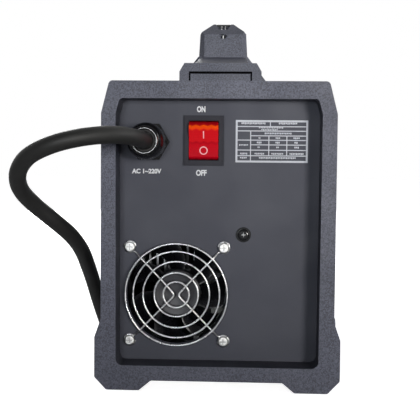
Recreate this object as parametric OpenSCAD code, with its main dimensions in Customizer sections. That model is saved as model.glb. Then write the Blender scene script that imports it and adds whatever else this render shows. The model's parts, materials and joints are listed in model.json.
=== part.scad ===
// Plasma cutter power unit with a built-in air compressor.
// X runs to the right seen from the mains side, Z is up, and the mains side faces -Y.
// The unit stands on its four moulded feet at Z = 0, centred on X = 0 and Y = 0.

/* [Case] */
// Length over both bezels
case_len = 380; // [360:2:440]
// Width over the bezel walls
case_w = 172.2; // [168:0.2:180]
// Height of the bezels, without the handle
case_h = 228.5; // [222:0.5:240]
// Width of the bezel's flat top edge
top_w = 160.2; // [150:0.2:164]
// Height of the shoulder where the upper corner bevel starts
shoulder_z = 204.8; // [198:0.2:210]
// Width over the four feet
foot_span = 181.6; // [180:0.2:192]
// Height at which the foot runs into the case wall
foot_top_z = 52.9; // [46:0.1:58]
// Height of the foot's vertical side
foot_side_z = 39.4; // [30:0.1:44]
// Clear height between the floor and the bezel's lower edge
ground_gap = 7.4; // [6:0.1:9]

/* [Bezels] */
// Depth of each moulded bezel along Y
bezel_depth = 42; // [38:0.5:46]
// Wall of the moulding
wall = 3; // [2.4:0.1:3.2]
// Width of the recess at the shoulder
recess_w = 150.8; // [147:0.2:151]
// Height of the recess floor edge above the ground
recess_z0 = 18.5; // [17:0.1:20]
// Height of the recess's top edge
recess_z1 = 215.7; // [212:0.1:216.5]
// Depth from the bezel's face to the panel
recess_depth = 22; // [21:0.5:24]

/* [Sheet metal] */
// Thickness of the cover
cover_t = 1.2; // [1:0.1:1.5]
// Thickness of the panels, the tray and the inner frame
sheet_t = 1.5; // [1.2:0.1:1.6]
// Number of louvres in each row
louvre_count = 9; // [5:1:11]
// Length of one louvre
louvre_len = 46; // [36:1:52]
// Distance between louvres
louvre_pitch = 11; // [10:0.5:12]
// How far a louvre stands proud
louvre_out = 2.8; // [2:0.1:3]

/* [Handle] */
// Height of the handle's top above the ground
handle_z = 287; // [283:0.5:292]
// Width of the grip
grip_w = 40; // [36:0.5:44]
// Thickness of the grip from its top to its underside
grip_t = 23; // [20:0.5:25]
// Distance from the bezel's face to the handle's end boss
boss_inset = 30; // [28:1:34]
// Distance from the bezel's face to the post's outer face
post_inset = 92; // [86:1:98]
// Width of the end boss
boss_w = 62.6; // [58:0.2:64]
// Height of the end boss above the ground
boss_z = 245; // [242:0.1:247]

/* [Fan] */
// Side of the square fan frame
fan_size = 80; // [80:1:82]
// Distance between the fan's screws
fan_pitch = 71.5; // [70.5:0.1:72]
// Depth of the fan frame
fan_depth = 25; // [24:1:28]
// Diameter of the air duct
duct_d = 76; // [74:0.5:76.5]
// Fan centre across the case
fan_x = -31.5; // [-33:0.1:-30]
// Fan centre above the ground
fan_z = 69.2; // [68:0.1:71]
// Number of blades
blade_count = 7; // [5:1:9]
// Diameter of the fan hub
hub_d = 37; // [34:0.5:39]
// Wire diameter of the guard
wire_d = 1.5; // [1.3:0.1:1.8]

/* [Power switch] */
// Width of the switch flange
switch_w = 30.4; // [30:0.1:32]
// Height of the switch flange
switch_h = 37.8; // [37.4:0.1:40]
// Switch centre across the case
switch_x = -11.8; // [-13:0.1:-10]
// Switch centre above the ground
switch_z = 185.8; // [184:0.1:187]
// Angle between the two positions of the rocker
rocker_swing = 22; // [18:1:24]

/* [Mains cord] */
// Diameter of the cord
cord_d = 12; // [11:0.5:12.5]
// Gland centre across the case
gland_x = -53.2; // [-54:0.1:-52]
// Gland centre above the ground
gland_z = 184.6; // [183:0.1:186]
// Width across the flats of the gland's hexagon
gland_af = 27; // [26:0.5:28]

/* [Front controls] */
// Diameter of the current knob
knob_d = 36; // [30:1:40]
// Height of the knob and the buttons above the ground
knob_z = 122; // [118:1:126]
// Height of the output sockets above the ground
socket_z = 56; // [52:1:60]
// Distance of each output socket from the middle
socket_x = 44; // [40:1:46]
// Diameter of a push button
button_d = 9; // [8:0.5:10]
// Travel of a push button
button_travel = 1.8; // [1.5:0.1:2]

/* [Compressor] */
// Diameter of the motor
motor_d = 76; // [70:1:78]
// Length of the motor's shell
motor_len = 70; // [64:1:76]
// Compressor shaft across the case
comp_x = 12; // [8:1:16]
// Compressor shaft above the ground
comp_z = 66; // [64:0.5:68]

/* [Hidden] */

$fn = 48;
eps = 0.01;
seat_gap = 0.3;      // between pieces that slip together
run_gap = 0.05;      // radial clearance of a shaft in its bore
cut = 1;             // how far a cutter runs past a face

// Colours
charcoal = "#55565f";
panel_grey = "#4d4e54";
cover_grey = "#3b3c42";
black = "#1c1c1f";
steel = "#c9ccd1";
brass = "#c8a24a";
copper = "#b56a35";
red = "#c81b21";
board_green = "#1f5a3a";

rear_y = -case_len / 2;
panel_back = recess_depth + sheet_t;
skirt_half = case_w / 2 - wall;
cover_half = skirt_half - seat_gap;
cover_top = case_h - wall - seat_gap;
tray_z = ground_gap + wall;
tray_top = tray_z + sheet_t;
flange_half = cover_half - cover_t;      // the tray's flange against the cover's inside
frame_half = flange_half - sheet_t;      // the inner frame's legs against the tray's flange
shelf_z = 118;
shelf_top = shelf_z + sheet_t;

// ---------------------------------------------------------------- helpers

// Rounds the corner b of a path a-b-c with radius r in n steps
function corner(a, b, c, r, n) =
    r <= 0 ? [b] :
    let (u = (a - b) / norm(a - b), v = (c - b) / norm(c - b), h = acos(u * v) / 2,
         o = b + (u + v) / norm(u + v) * r / sin(h),
         s = b + u * r / tan(h) - o, e = b + v * r / tan(h) - o,
         a0 = atan2(s[1], s[0]), turn = atan2(e[1], e[0]) - a0,
         sweep = turn > 180 ? turn - 360 : turn < -180 ? turn + 360 : turn)
    [for (i = [0:n]) o + r * [cos(a0 + sweep * i / n), sin(a0 + sweep * i / n)]];

// Rounds every corner of a closed outline
function rounded(pts, radii, n = 4) =
    let (k = len(pts))
    [for (i = [0:k - 1]) each corner(pts[(i + k - 1) % k], pts[i], pts[(i + 1) % k], radii[i], n)];

// Moves every edge of an anticlockwise outline inwards by d
function inset(pts, d) =
    let (k = len(pts))
    [for (i = [0:k - 1])
        let (u = pts[i] - pts[(i + k - 1) % k], v = pts[(i + 1) % k] - pts[i],
             p = [-u[1], u[0]] / norm(u), q = [-v[1], v[0]] / norm(v))
        pts[i] + d * (p + q) / (1 + p * q)];

// Completes a right half, listed from bottom to top, to an anticlockwise outline
function both_sides(half) =
    concat(half, [for (i = [len(half) - 1:-1:0]) [-half[i][0], half[i][1]]]);

// An outline in X and Z, extruded along Y between two depths behind the rear face
module slab(pts, d0, d1) {
    translate([0, rear_y + d1, 0]) rotate([90, 0, 0]) linear_extrude(d1 - d0) polygon(pts);
}

// An outline in Y and Z, extruded along X
module slab_x(pts, x0, x1) {
    translate([x0, 0, 0]) rotate([90, 0, 90]) linear_extrude(x1 - x0) polygon(pts);
}

module box(x0, x1, y0, y1, z0, z1) {
    translate([x0, y0, z0]) cube([x1 - x0, y1 - y0, z1 - z0]);
}

// A place on the rear panel: local Z points out of the panel and local Y points up
module on_rear(x, z) {
    translate([x, rear_y + recess_depth, z]) rotate([90, 0, 0]) children();
}

// The same on the front panel
module on_front(x, z) {
    translate([x, -rear_y - recess_depth, z]) rotate([90, 0, 180]) children();
}

module tube(r_out, r_in, z0, z1) {
    translate([0, 0, z0]) difference() {
        cylinder(r = r_out, h = z1 - z0);
        translate([0, 0, -cut]) cylinder(r = r_in, h = z1 - z0 + 2 * cut);
    }
}

module disc(r, z0, z1) {
    translate([0, 0, z0]) cylinder(r = r, h = z1 - z0);
}

module hexagon(af, z0, z1) {
    translate([0, 0, z0]) cylinder(r = af / sqrt(3), h = z1 - z0, $fn = 6);
}

module corners(px, py) {
    for (sx = [-1, 1], sy = [-1, 1]) translate([sx * px / 2, sy * py / 2, 0]) children();
}

// A pan head with a cross recess; its seat is at z = 0
module pan_head(r, h) {
    difference() {
        rotate_extrude() polygon(rounded([[0, 0], [r, 0], [r, h], [0, h]], [0, 0, h * 0.6, 0]));
        for (a = [0, 90]) rotate(a) translate([-r * 0.55, -r * 0.1, h * 0.5]) cube([r * 1.1, r * 0.2, h]);
    }
}

// A tube swept along points in space: the ring at each point lies across the path
function unit(v) = v / norm(v);
function heading(path, i) = unit(path[min(i + 1, len(path) - 1)] - path[max(i - 1, 0)]);
function carry(side, t) = unit(side - (side * t) * t);
function sides_of(path, i, side) =
    i == len(path) ? [] :
    let (s = carry(side, heading(path, i))) concat([s], sides_of(path, i + 1, s));

module sweep(path, r, sides, first_side) {
    frames = sides_of(path, 0, first_side);
    n = len(path);
    pts = [for (i = [0:n - 1])
        let (t = heading(path, i), s = frames[i], b = cross(t, s))
        for (j = [0:sides - 1]) path[i] + r * (cos(360 * j / sides) * s + sin(360 * j / sides) * b)];
    skin = [for (i = [0:n - 2], j = [0:sides - 1])
        let (a = i * sides + j, b = i * sides + (j + 1) % sides)
        each [[a, b, b + sides], [a, b + sides, a + sides]]];
    first = [for (j = [sides - 1:-1:0]) j];
    last = [for (j = [0:sides - 1]) (n - 1) * sides + j];
    polyhedron(pts, concat([first], skin, [last]));
}

// A smooth curve through hand-set points, with k steps between two of them
function spline_at(p, i, t) =
    let (n = len(p), a = p[max(i - 1, 0)], b = p[i], c = p[i + 1], d = p[min(i + 2, n - 1)])
    0.5 * ((2 * b) + (c - a) * t + (2 * a - 5 * b + 4 * c - d) * t * t
        + (3 * b - 3 * c + d - a) * t * t * t);
function spline(p, k) =
    concat([for (i = [0:len(p) - 2], j = [0:k - 1]) spline_at(p, i, j / k)], [p[len(p) - 1]]);

// ---------------------------------------------------------------- bezels

foot_in = 57.5;              // inner end of the foot's sole
foot_out = 81.9;             // outer end of the foot's sole
foot_bevel = 9.4;            // height of the foot's lower outer bevel
notch_in = 48.6;             // where the bezel's lower edge runs into the foot
top_round = 3;

bezel_corners = both_sides([
    [notch_in, ground_gap], [foot_in, 0], [foot_out, 0], [foot_span / 2, foot_bevel],
    [foot_span / 2, foot_side_z], [case_w / 2, foot_top_z], [case_w / 2, shoulder_z],
    [top_w / 2, case_h]]);
bezel_half_round = [2, 2, 2, 2, 2.5, 2.5, 5, top_round];
bezel_round = concat(bezel_half_round, [for (i = [7:-1:0]) bezel_half_round[i]]);
least_round = 0.4;

// The bezel's outline, moved inwards by d
function bezel_outline(d) =
    rounded(inset(bezel_corners, d), [for (r = bezel_round) max(least_round, r - d)], 3);

recess_slope = 3;            // how far the recess narrows above the shoulder
recess_outline = rounded(both_sides([
        [recess_w / 2 - 0.5, recess_z0], [recess_w / 2, shoulder_z],
        [recess_w / 2 - recess_slope, recess_z1]]),
    [5, 6, 3, 3, 6, 5], 4);

recess_wall = 2.5;
panel_lap = 3.6;             // how far the panel laps the recess wall
lug_z = [49.5, 173.4];
lug_depth = 15;              // side screws behind the bezel's face
lug_w = 14;
lug_out = skirt_half - 1.4;  // outer face of the panel's lugs
foot_rise = max(0, foot_top_z - lug_z[0]) / (foot_top_z - foot_side_z);
lug_sink = 1.6;              // depth of the spot face under a screw head
lug_seat = [case_w / 2 - lug_sink + foot_rise * (foot_span - case_w) / 2, case_w / 2 - lug_sink];
side_screw_r = 2;
side_head_r = 4.8;
side_head_h = 2.6;
rib_t = 2;

// A place on each of the four lug screws, local Z outwards, at out from the head's seat
module at_lugs(out) {
    for (sx = [0, 1], i = [0, 1]) mirror([sx, 0, 0]) {
        $seat = lug_seat[i];
        translate([$seat + out, rear_y + lug_depth, lug_z[i]]) rotate([0, 90, 0]) children();
    }
}

module bezel() {
    difference() {
        union() {
            slab(bezel_outline(0), 0, bezel_depth);
            at_lugs(0) disc(side_head_r + 0.8, -3, 0);
        }
        slab(recess_outline, -cut, bezel_depth + cut);
        difference() {
            slab(bezel_outline(wall), wall, bezel_depth + cut);
            slab(inset(recess_outline, -recess_wall), 0, recess_depth);
            bezel_ribs();
            at_lugs(0) disc(side_head_r + 1.8, lug_out - $seat, 0);
        }
        at_lugs(0) {
            disc(side_screw_r + 0.2, lug_out - $seat - cut, cut);
            disc(side_head_r + 0.3, 0, 8);
        }
    }
}

// Ribs between the recess wall and the outer skirt
module bezel_ribs() {
    half = recess_w / 2 + recess_wall / 2;
    for (sx = [-1, 1], z = [30, 82, 115, 148])
        box(sx > 0 ? half : -case_w / 2 + 1, sx > 0 ? case_w / 2 - 1 : -half,
            rear_y + 1, rear_y + recess_depth - 1, z, z + rib_t);
    for (x = [-54, -27, 0, 27, 54]) {
        box(x - rib_t / 2, x + rib_t / 2, rear_y + 1, rear_y + recess_depth - 1,
            recess_z1 + recess_wall / 2, case_h - 1);
        box(x - rib_t / 2, x + rib_t / 2, rear_y + 1, rear_y + recess_depth - 1,
            ground_gap + 1, recess_z0 - recess_wall / 2);
    }
}

module rear_bezel() { color(charcoal) bezel(); }
module front_bezel() { color(charcoal) mirror([0, 1, 0]) bezel(); }

// ---------------------------------------------------------------- panels

panel_outline = inset(recess_outline, -recess_wall - panel_lap);
panel_screw_x = 18.9;
panel_screw_z = 115;
panel_screw_r = 2;
panel_nut_af = 5.5;

// Plate with four lugs that reach forward beside the recess wall
module panel_blank() {
    slab(panel_outline, recess_depth, panel_back);
    for (sx = [-1, 1], z = lug_z) difference() {
        box(sx > 0 ? lug_out - sheet_t : -lug_out, sx > 0 ? lug_out : sheet_t - lug_out,
            rear_y + lug_depth - 6, rear_y + panel_back, z - lug_w / 2, z + lug_w / 2);
        translate([sx * (lug_out + cut), rear_y + lug_depth, z]) rotate([0, -90 * sx, 0])
            disc(side_screw_r + run_gap, 0, sheet_t + 2 * cut);
    }
}

module rear_panel() {
    color(panel_grey) difference() {
        panel_blank();
        on_rear(fan_x, fan_z) {
            disc(duct_d / 2, -sheet_t - cut, cut);
            corners(fan_pitch, fan_pitch) disc(guard_screw_r + 0.15, -sheet_t - cut, cut);
        }
        on_rear(switch_x, switch_z) translate([0, 0, -sheet_t - cut])
            linear_extrude(sheet_t + 2 * cut) square([housing_w + 0.3, housing_h + 0.3], center = true);
        on_rear(gland_x, gland_z) disc(gland_thread_r + 0.15, -sheet_t - cut, cut);
        on_rear(panel_screw_x, panel_screw_z) disc(panel_screw_r + run_gap, -sheet_t - cut, cut);
    }
}

display_w = 62;
display_h = 27;
display_z = 184;
lamp_z = 157;
lamp_r = 2.5;
lamp_x = [-28, 0, 28];
button_x = 48;
trigger_z = socket_z + 18;
bush_r = 6;                  // threaded bush of a push button
pot_bush_r = 4.5;
dinse_r = 13.5;              // neck of the work socket behind the panel
torch_neck_r = 10;
trigger_neck_r = 7.8;

module front_panel() {
    color(panel_grey) difference() {
        mirror([0, 1, 0]) panel_blank();
        on_front(0, display_z) translate([0, 0, -sheet_t - cut])
            linear_extrude(sheet_t + 2 * cut) square([display_w - 4, display_h - 4], center = true);
        for (x = lamp_x) on_front(x, lamp_z) disc(lamp_r + run_gap, -sheet_t - cut, cut);
        on_front(0, knob_z) disc(pot_bush_r + 0.15, -sheet_t - cut, cut);
        for (x = [-button_x, button_x]) on_front(x, knob_z) disc(bush_r + 0.15, -sheet_t - cut, cut);
        on_front(-socket_x, socket_z) disc(dinse_r + 0.15, -sheet_t - cut, cut);
        on_front(socket_x, socket_z) disc(torch_neck_r + 0.15, -sheet_t - cut, cut);
        on_front(0, trigger_z) disc(trigger_neck_r + 0.15, -sheet_t - cut, cut);
    }
}

// ---------------------------------------------------------------- cover, tray and frame

cover_d0 = recess_depth + 8;                   // the cover's edge inside the bezel
cover_z0 = tray_top + 1;
louvre_d0 = bezel_depth + 22;
louvre_z0 = 46;
cover_screw_z = 26;
cover_screw_d = [70, case_len / 2, case_len - 70];
cover_screw_r = 2;
handle_screw_d = [post_inset - 42, post_inset + 8];
handle_screw_x = 14;
handle_screw_r = 2.5;

// The case outline above the feet, moved inwards by d and open at the bottom
function case_half(d) = inset([
        [case_w / 2, -20], [case_w / 2, shoulder_z], [top_w / 2, case_h],
        [-top_w / 2, case_h], [-case_w / 2, shoulder_z], [-case_w / 2, -20]], d);
case_round = [0, 4, 4, 4, 4, 0];

module case_block(d, d0, d1, z0) {
    intersection() {
        slab(rounded(case_half(d), case_round, 3), d0, d1);
        box(-case_w, case_w, rear_y, -rear_y, z0, case_h + cut);
    }
}

// One louvre: a wedge pressed outwards, open along its lower edge
module louvre(inner) {
    t = inner ? cover_t : 0;
    out = louvre_out - t;
    low = inner ? -cut : 0;
    slab_y = louvre_len / 2 - t;
    translate([0, slab_y, 0]) rotate([90, 0, 0]) linear_extrude(2 * slab_y)
        polygon([[-cover_t - (inner ? cut : 0), low], [out, low], [out, 1.2 - t * 0.3],
            [-cover_t / 2, 7.2 - t], [-cover_t - (inner ? cut : 0), 7.2 - t]]);
}

module louvres(inner) {
    for (sx = [0, 1], row = [0, 1], i = [0:louvre_count - 1])
        mirror([sx, 0, 0])
            translate([cover_half, rear_y + (row == 0 ? louvre_d0 + louvre_len / 2
                    : case_len - louvre_d0 - louvre_len / 2),
                louvre_z0 + i * louvre_pitch]) louvre(inner);
}

module cover() {
    color(cover_grey) difference() {
        union() {
            difference() {
                case_block(wall + seat_gap, cover_d0, case_len - cover_d0, cover_z0);
                case_block(wall + seat_gap + cover_t, cover_d0 - cut, case_len - cover_d0 + cut, -cut);
            }
            louvres(false);
        }
        louvres(true);
        for (sx = [-1, 1], d = cover_screw_d)
            translate([sx * (cover_half + cut), rear_y + d, cover_screw_z]) rotate([0, -90 * sx, 0])
                disc(cover_screw_r + 0.2, 0, cover_t + 2 * cut);
        at_handle_screws() disc(handle_screw_r + 0.25, -cover_t - cut, cut);
    }
}

module at_handle_screws() {
    for (sx = [-1, 1], sy = [0, 1], d = handle_screw_d)
        mirror([0, sy, 0]) translate([sx * handle_screw_x, rear_y + d, cover_top]) children();
}

tray_flange_z = 42;

module base_tray() {
    color(cover_grey) difference() {
        union() {
            box(-flange_half, flange_half, rear_y + panel_back, -rear_y - panel_back, tray_z, tray_top);
            for (sx = [-1, 1])
                box(sx > 0 ? flange_half - sheet_t : -flange_half,
                    sx > 0 ? flange_half : sheet_t - flange_half,
                    rear_y + panel_back, -rear_y - panel_back, tray_z, tray_flange_z);
        }
        for (sx = [-1, 1], d = cover_screw_d)
            translate([sx * (flange_half + cut), rear_y + d, cover_screw_z]) rotate([0, -90 * sx, 0])
                disc(cover_screw_r + run_gap, 0, sheet_t + 2 * cut);
        for (i = [0:6], sx = [-1, 1]) translate([sx * 40, rear_y + 70 + i * 12, tray_z])
            for (x = [-15, 15]) half_slot(x);
    }
}

// Half of a round-ended air slot in the tray
module half_slot(x) {
    translate([x, 0, -cut]) cylinder(r = 2.5, h = sheet_t + 2 * cut, $fn = 24);
    translate([x > 0 ? 0 : x, -2.5, -cut]) cube([abs(x), 5, sheet_t + 2 * cut]);
}

frame_d1 = case_len - 64;
leg_d0 = 62;
window_d0 = leg_d0 + 16;
window_d1 = frame_d1 - 16;
tab_w = 20;
tab_h = 16;

// A shelf on two legs, tied to the rear panel by a tab
module inner_frame() {
    color(steel) difference() {
        union() {
            box(-frame_half, frame_half, rear_y + leg_d0, rear_y + frame_d1, shelf_z, shelf_top);
            for (sx = [-1, 1])
                box(sx > 0 ? frame_half - sheet_t : -frame_half, sx > 0 ? frame_half : sheet_t - frame_half,
                    rear_y + leg_d0, rear_y + frame_d1, tray_top, shelf_top);
            box(panel_screw_x - tab_w / 2, panel_screw_x + tab_w / 2, rear_y + panel_back,
                rear_y + leg_d0 + 1, shelf_z, shelf_top);
            box(panel_screw_x - tab_w / 2, panel_screw_x + tab_w / 2, rear_y + panel_back,
                rear_y + panel_back + sheet_t, panel_screw_z - tab_h / 2, shelf_top);
        }
        for (sx = [-1, 1])
            box(sx > 0 ? frame_half - sheet_t - cut : -frame_half - cut,
                sx > 0 ? frame_half + cut : sheet_t - frame_half + cut,
                rear_y + window_d0, rear_y + window_d1, tray_flange_z + 2, shelf_z - 14);
        on_rear(panel_screw_x, panel_screw_z)
            disc(panel_screw_r + run_gap, -panel_back - sheet_t - cut, 0);
    }
}

// ---------------------------------------------------------------- screws of the case

module side_screws() {
    color(black) for (sy = [0, 1]) mirror([0, sy, 0]) at_lugs(0) {
        pan_head(side_head_r, side_head_h);
        disc(side_screw_r, lug_out - sheet_t - 0.8 - $seat, eps);
    }
}

module cover_screws() {
    color(black) for (sx = [0, 1], d = cover_screw_d)
        mirror([sx, 0, 0]) translate([cover_half, rear_y + d, cover_screw_z]) rotate([0, 90, 0]) {
            pan_head(4, 2.4);
            disc(cover_screw_r, -cover_t - sheet_t, eps);
        }
}

module panel_screw() {
    color(black) on_rear(panel_screw_x, panel_screw_z) {
        disc(5.7, 0, 0.9);
        translate([0, 0, 0.9 - eps]) pan_head(4.3, 2.6);
        disc(panel_screw_r, -2 * sheet_t - 3, eps);
        hexagon(panel_nut_af, -2 * sheet_t - 2.4, -2 * sheet_t);
    }
}

// ---------------------------------------------------------------- handle

grip_half = grip_w / 2;
base_half = 46.6;                             // flared foot on the cover
ramp_half = 21;                               // ramp behind the end boss
ramp_end_half = 18.5;                         // ramp where it meets the post
ramp_z = handle_z - 29.5;                     // where the ramp meets the post
crease_z = handle_z - 10.5;                   // where the post's top bevel starts
under_z = handle_z - grip_t;
hand_d0 = post_inset + 30;                    // where the underside of the grip starts
hand_foot_d = post_inset + 16;                // inner foot of the post
pad_half = 7;
pad_t = 1.6;
end_slot_r = 1.8;                             // slot in front of the end screw
end_slot_half = 1.7;
end_hole_depth = 4;
end_screw_r = 1;
end_screw_z = crease_z - end_slot_r - 0.1;
pocket_top = 6.8;                             // half width of the pocket at the pad's end
pocket_low = 3.9;
pocket_z = handle_z - 5.5;
pocket_len = 18;
tongue_x = 1.5;
tongue_t = 0.8;
window_half = 24.1;
window_z = boss_z - 6.3;
window_depth = 0.8;
window_gap = 1.2;                             // shadow gap round the plate in the window
window_gap_depth = 5;

// Side view of the rear half, in depth and height
handle_side = [[boss_inset + 14, cover_top], [hand_foot_d, cover_top], [hand_foot_d, cover_top + 6],
    [hand_d0, under_z], [case_len / 2 + eps, under_z], [case_len / 2 + eps, handle_z],
    [post_inset + 14, handle_z], [post_inset, crease_z], [post_inset, ramp_z],
    [boss_inset + 14, boss_z + 1.5]];

// End view of the grip, its post and its flared foot
handle_end = both_sides([
    [base_half, cover_top], [grip_half + 0.3, ramp_z + 0.6], [grip_half - 0.8, handle_z - 10],
    [grip_half - 2.8, handle_z - 7.5], [8.4, handle_z]]);

// Plan view: a narrow ramp, then the flared foot behind it
handle_plan = both_sides([
    [ramp_half, boss_inset + 4], [ramp_end_half, post_inset - 1], [base_half + cut, post_inset + 7],
    [base_half + cut, case_len / 2 + eps]]);

boss_end = both_sides([
    [boss_w / 2, cover_top], [boss_w / 2, boss_z - 6.4], [boss_w / 2 - 3.8, boss_z]]);

function from_rear(pts) = [for (p = pts) [rear_y + p[0], p[1]]];

// Top of the bevel over the post at a depth behind the rear face
function bevel_z(d) = crease_z + (d - post_inset) * (handle_z - crease_z) / 14;

module handle_half() {
    difference() {
        union() {
            intersection() {
                slab_x(from_rear(handle_side), -base_half - cut, base_half + cut);
                slab(handle_end, 0, case_len / 2 + eps);
                translate([0, rear_y, 0]) linear_extrude(handle_z + cut) polygon(handle_plan);
            }
            slab(boss_end, boss_inset, boss_inset + 16);
        }
        // the end boss rests on the bezel
        box(-base_half - cut, base_half + cut, rear_y, rear_y + bezel_depth + seat_gap, 0, case_h);
        // bevels down both outer corners of the post
        for (sx = [0, 1]) mirror([sx, 0, 0])
            translate([0, rear_y, ramp_z + 0.4]) linear_extrude(grip_t + cut)
                polygon([[grip_half - 5.2, post_inset - cut], [grip_half + 2, post_inset - cut],
                    [grip_half + 2, post_inset + 8.2]]);
        // blind window in the boss
        slab(both_sides([[window_half, cover_top - cut], [window_half, window_z]]),
            boss_inset - cut, boss_inset + window_depth);
        difference() {
            slab(both_sides([[window_half, cover_top - cut], [window_half, window_z]]),
                boss_inset - cut, boss_inset + window_gap_depth);
            slab(both_sides([[window_half - window_gap, cover_top - 2 * cut],
                    [window_half - window_gap, window_z - window_gap]]),
                boss_inset - 2 * cut, boss_inset + window_gap_depth + cut);
        }
        // channel for the pad and the pocket at its end
        slab(both_sides([[pad_half, handle_z - pad_t], [pad_half, handle_z + cut]]),
            post_inset + pocket_len, case_len / 2 + cut);
        slab(both_sides([[pocket_low, pocket_z], [pocket_top, handle_z + cut]]),
            post_inset - cut, post_inset + pocket_len);
        // slot in front of the end screw
        translate([0, rear_y + post_inset, end_screw_z]) rotate([-90, 0, 0]) {
            for (x = [-end_slot_half, end_slot_half])
                translate([x, 0, 0]) disc(end_slot_r, -cut, end_hole_depth);
            translate([-end_slot_half, -end_slot_r, -cut])
                cube([2 * end_slot_half, 2 * end_slot_r, end_hole_depth + cut]);
            disc(end_screw_r + run_gap, 0, end_hole_depth + 13);
        }
        for (sx = [-1, 1], d = handle_screw_d)
            translate([sx * handle_screw_x, rear_y + d, cover_top - cut])
                disc(handle_screw_r + run_gap, 0, 13);
    }
}

module handle() {
    color(charcoal) union() {
        handle_half();
        mirror([0, 1, 0]) handle_half();
    }
}

module handle_pad() {
    color(black) slab(both_sides([[pad_half - 0.15, handle_z - pad_t], [pad_half - 0.15, handle_z - 0.2],
            [pad_half - 1.4, handle_z + 0.5]]), post_inset + pocket_len, case_len - post_inset - pocket_len);
}

// Screws of the handle, and the steel tongues that hold the ends of the pad
module handle_screws() {
    color(steel) {
        at_handle_screws() {
            mirror([0, 0, 1]) translate([0, 0, cover_t]) pan_head(4.6, 3);
            disc(handle_screw_r, -cover_t - eps, 11.5);
        }
        for (sy = [0, 1]) mirror([0, sy, 0]) {
            translate([0, rear_y + post_inset + end_hole_depth, end_screw_z]) rotate([90, 0, 0]) {
                pan_head(1.65, 1.4);
                disc(end_screw_r, -12, eps);
            }
            for (x = [-tongue_x, tongue_x]) slab_x(from_rear([
                    [post_inset + 8, pocket_z], [post_inset + pocket_len, pocket_z],
                    [post_inset + pocket_len, handle_z - 0.8], [post_inset + 12, handle_z - 1.9],
                    [post_inset + 8, bevel_z(post_inset + 8) - 0.4]]), x - tongue_t / 2, x + tongue_t / 2);
        }
    }
}

// ---------------------------------------------------------------- fan

guard_screw_r = 2;
guard_z = 3.5;                                // support wires above the panel
ring_r = [38.7, 32.8, 25.2, 16.7, 9.8];
loop_r = 4.2;
guard_head_r = 4.2;
guard_drop = 0.6;                             // the wires cross below the fan's centre
wire_r = wire_d / 2;
fan_z0 = -sheet_t;                            // the frame starts at the panel's back
fan_z1 = fan_z0 - fan_depth;
hub_r = hub_d / 2;
blade_tip_r = duct_d / 2 - 1;
shaft_r = 1.5;

module fan_frame() {
    color(black) on_rear(fan_x, fan_z) difference() {
        union() {
            translate([0, 0, fan_z1]) linear_extrude(fan_depth) difference() {
                polygon(rounded([[-fan_size / 2, -fan_size / 2], [fan_size / 2, -fan_size / 2],
                    [fan_size / 2, fan_size / 2], [-fan_size / 2, fan_size / 2]], [3, 3, 3, 3], 3));
                circle(r = duct_d / 2, $fn = 96);
            }
            disc(hub_r - 1, fan_z1, fan_z1 + 4);
            disc(11, fan_z1, fan_z1 + 15);
            for (a = [20, 110, 200, 290]) rotate(a)
                translate([hub_r - 3, -2, fan_z1]) cube([duct_d / 2 - hub_r + 4, 4, 4]);
        }
        corners(fan_pitch, fan_pitch) disc(guard_screw_r + 0.15, fan_z1 - cut, fan_z0 + cut);
        disc(shaft_r + run_gap, fan_z1 + 2, fan_z0);
        // the flange's corners are thinned between the two mounting ears
        for (a = [0:90:270]) rotate(a) translate([fan_size / 2 - 4, -fan_size / 2 + 14, fan_z1 + 4])
            cube([5, fan_size - 28, fan_depth - 8]);
    }
}

hub_top = fan_z0 - 1.5;
hub_low = fan_z1 + 5.2;

module fan_blade() {
    lean = 14;                                // forward sweep from root to tip
    steps = 3;
    half_t = 0.8;
    root_r = hub_r - 0.9;
    edge = function (t, side) let (r = root_r + (blade_tip_r - root_r) * t, a = lean * t * t)
        r * [cos(a), sin(a)] + side * half_t * [-sin(a), cos(a)];
    translate([0, 0, hub_low + 0.5]) linear_extrude(hub_top - hub_low - 1.5, twist = 36, slices = 4)
        polygon(concat([for (i = [0:steps]) edge(i / steps, -1)],
            [for (i = [steps:-1:0]) edge(i / steps, 1)]));
}

module fan_rotor() {
    color(black) on_rear(fan_x, fan_z) {
        rotate_extrude() polygon([[0, hub_top - 0.6], [13.5, hub_top - 0.6], [14.2, hub_top],
            [hub_r - 1.2, hub_top], [hub_r, hub_top - 1.2], [hub_r, hub_low], [hub_r - 1.6, hub_low],
            [hub_r - 1.6, hub_top - 2.4], [shaft_r, hub_top - 2.4], [shaft_r, fan_z1 + 2.2],
            [0, fan_z1 + 2.2]]);
        for (i = [0:blade_count - 1]) rotate(i * 360 / blade_count + 8) fan_blade();
    }
}

ring_z = guard_z + wire_d + 0.02;             // rings lie on the support wires
loop_z = wire_r + 0.05;

// One support wire, listed from its middle to the open eye round a screw
guard_arm = let (p = fan_pitch / 2, e = p - loop_r * 0.72) concat(
    [[2.1, 0, guard_z], [2.4, 1, guard_z], [3.2, 2.2, guard_z], [4.6, 3.8, guard_z]],
    [[e - 6, e - 6, guard_z], [e - 5, e - 5, guard_z - 0.1], [e - 1.6, e - 1.4, loop_z + 0.4]],
    [for (a = [-125:25:175]) [p + loop_r * cos(a), p + loop_r * sin(a), loop_z]]);
guard_wire = [for (q = concat([for (i = [len(guard_arm) - 1:-1:1])
        [guard_arm[i][0], -guard_arm[i][1], guard_arm[i][2]]], guard_arm))
    q - [0, guard_drop * max(0, 1 - abs(q[1]) / 12), 0]];

module fan_guard() {
    color(steel) on_rear(fan_x, fan_z) for (r = ring_r)
        translate([0, 0, ring_z]) rotate_extrude() translate([r, 0]) circle(r = wire_r, $fn = 20);
}

module guard_wires() {
    color(steel) on_rear(fan_x, fan_z) for (sx = [0, 1])
        mirror([sx, 0, 0]) sweep(guard_wire, wire_r, 8, [0, 0, 1]);
}

screw_seat = wire_d + 0.1;

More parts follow.
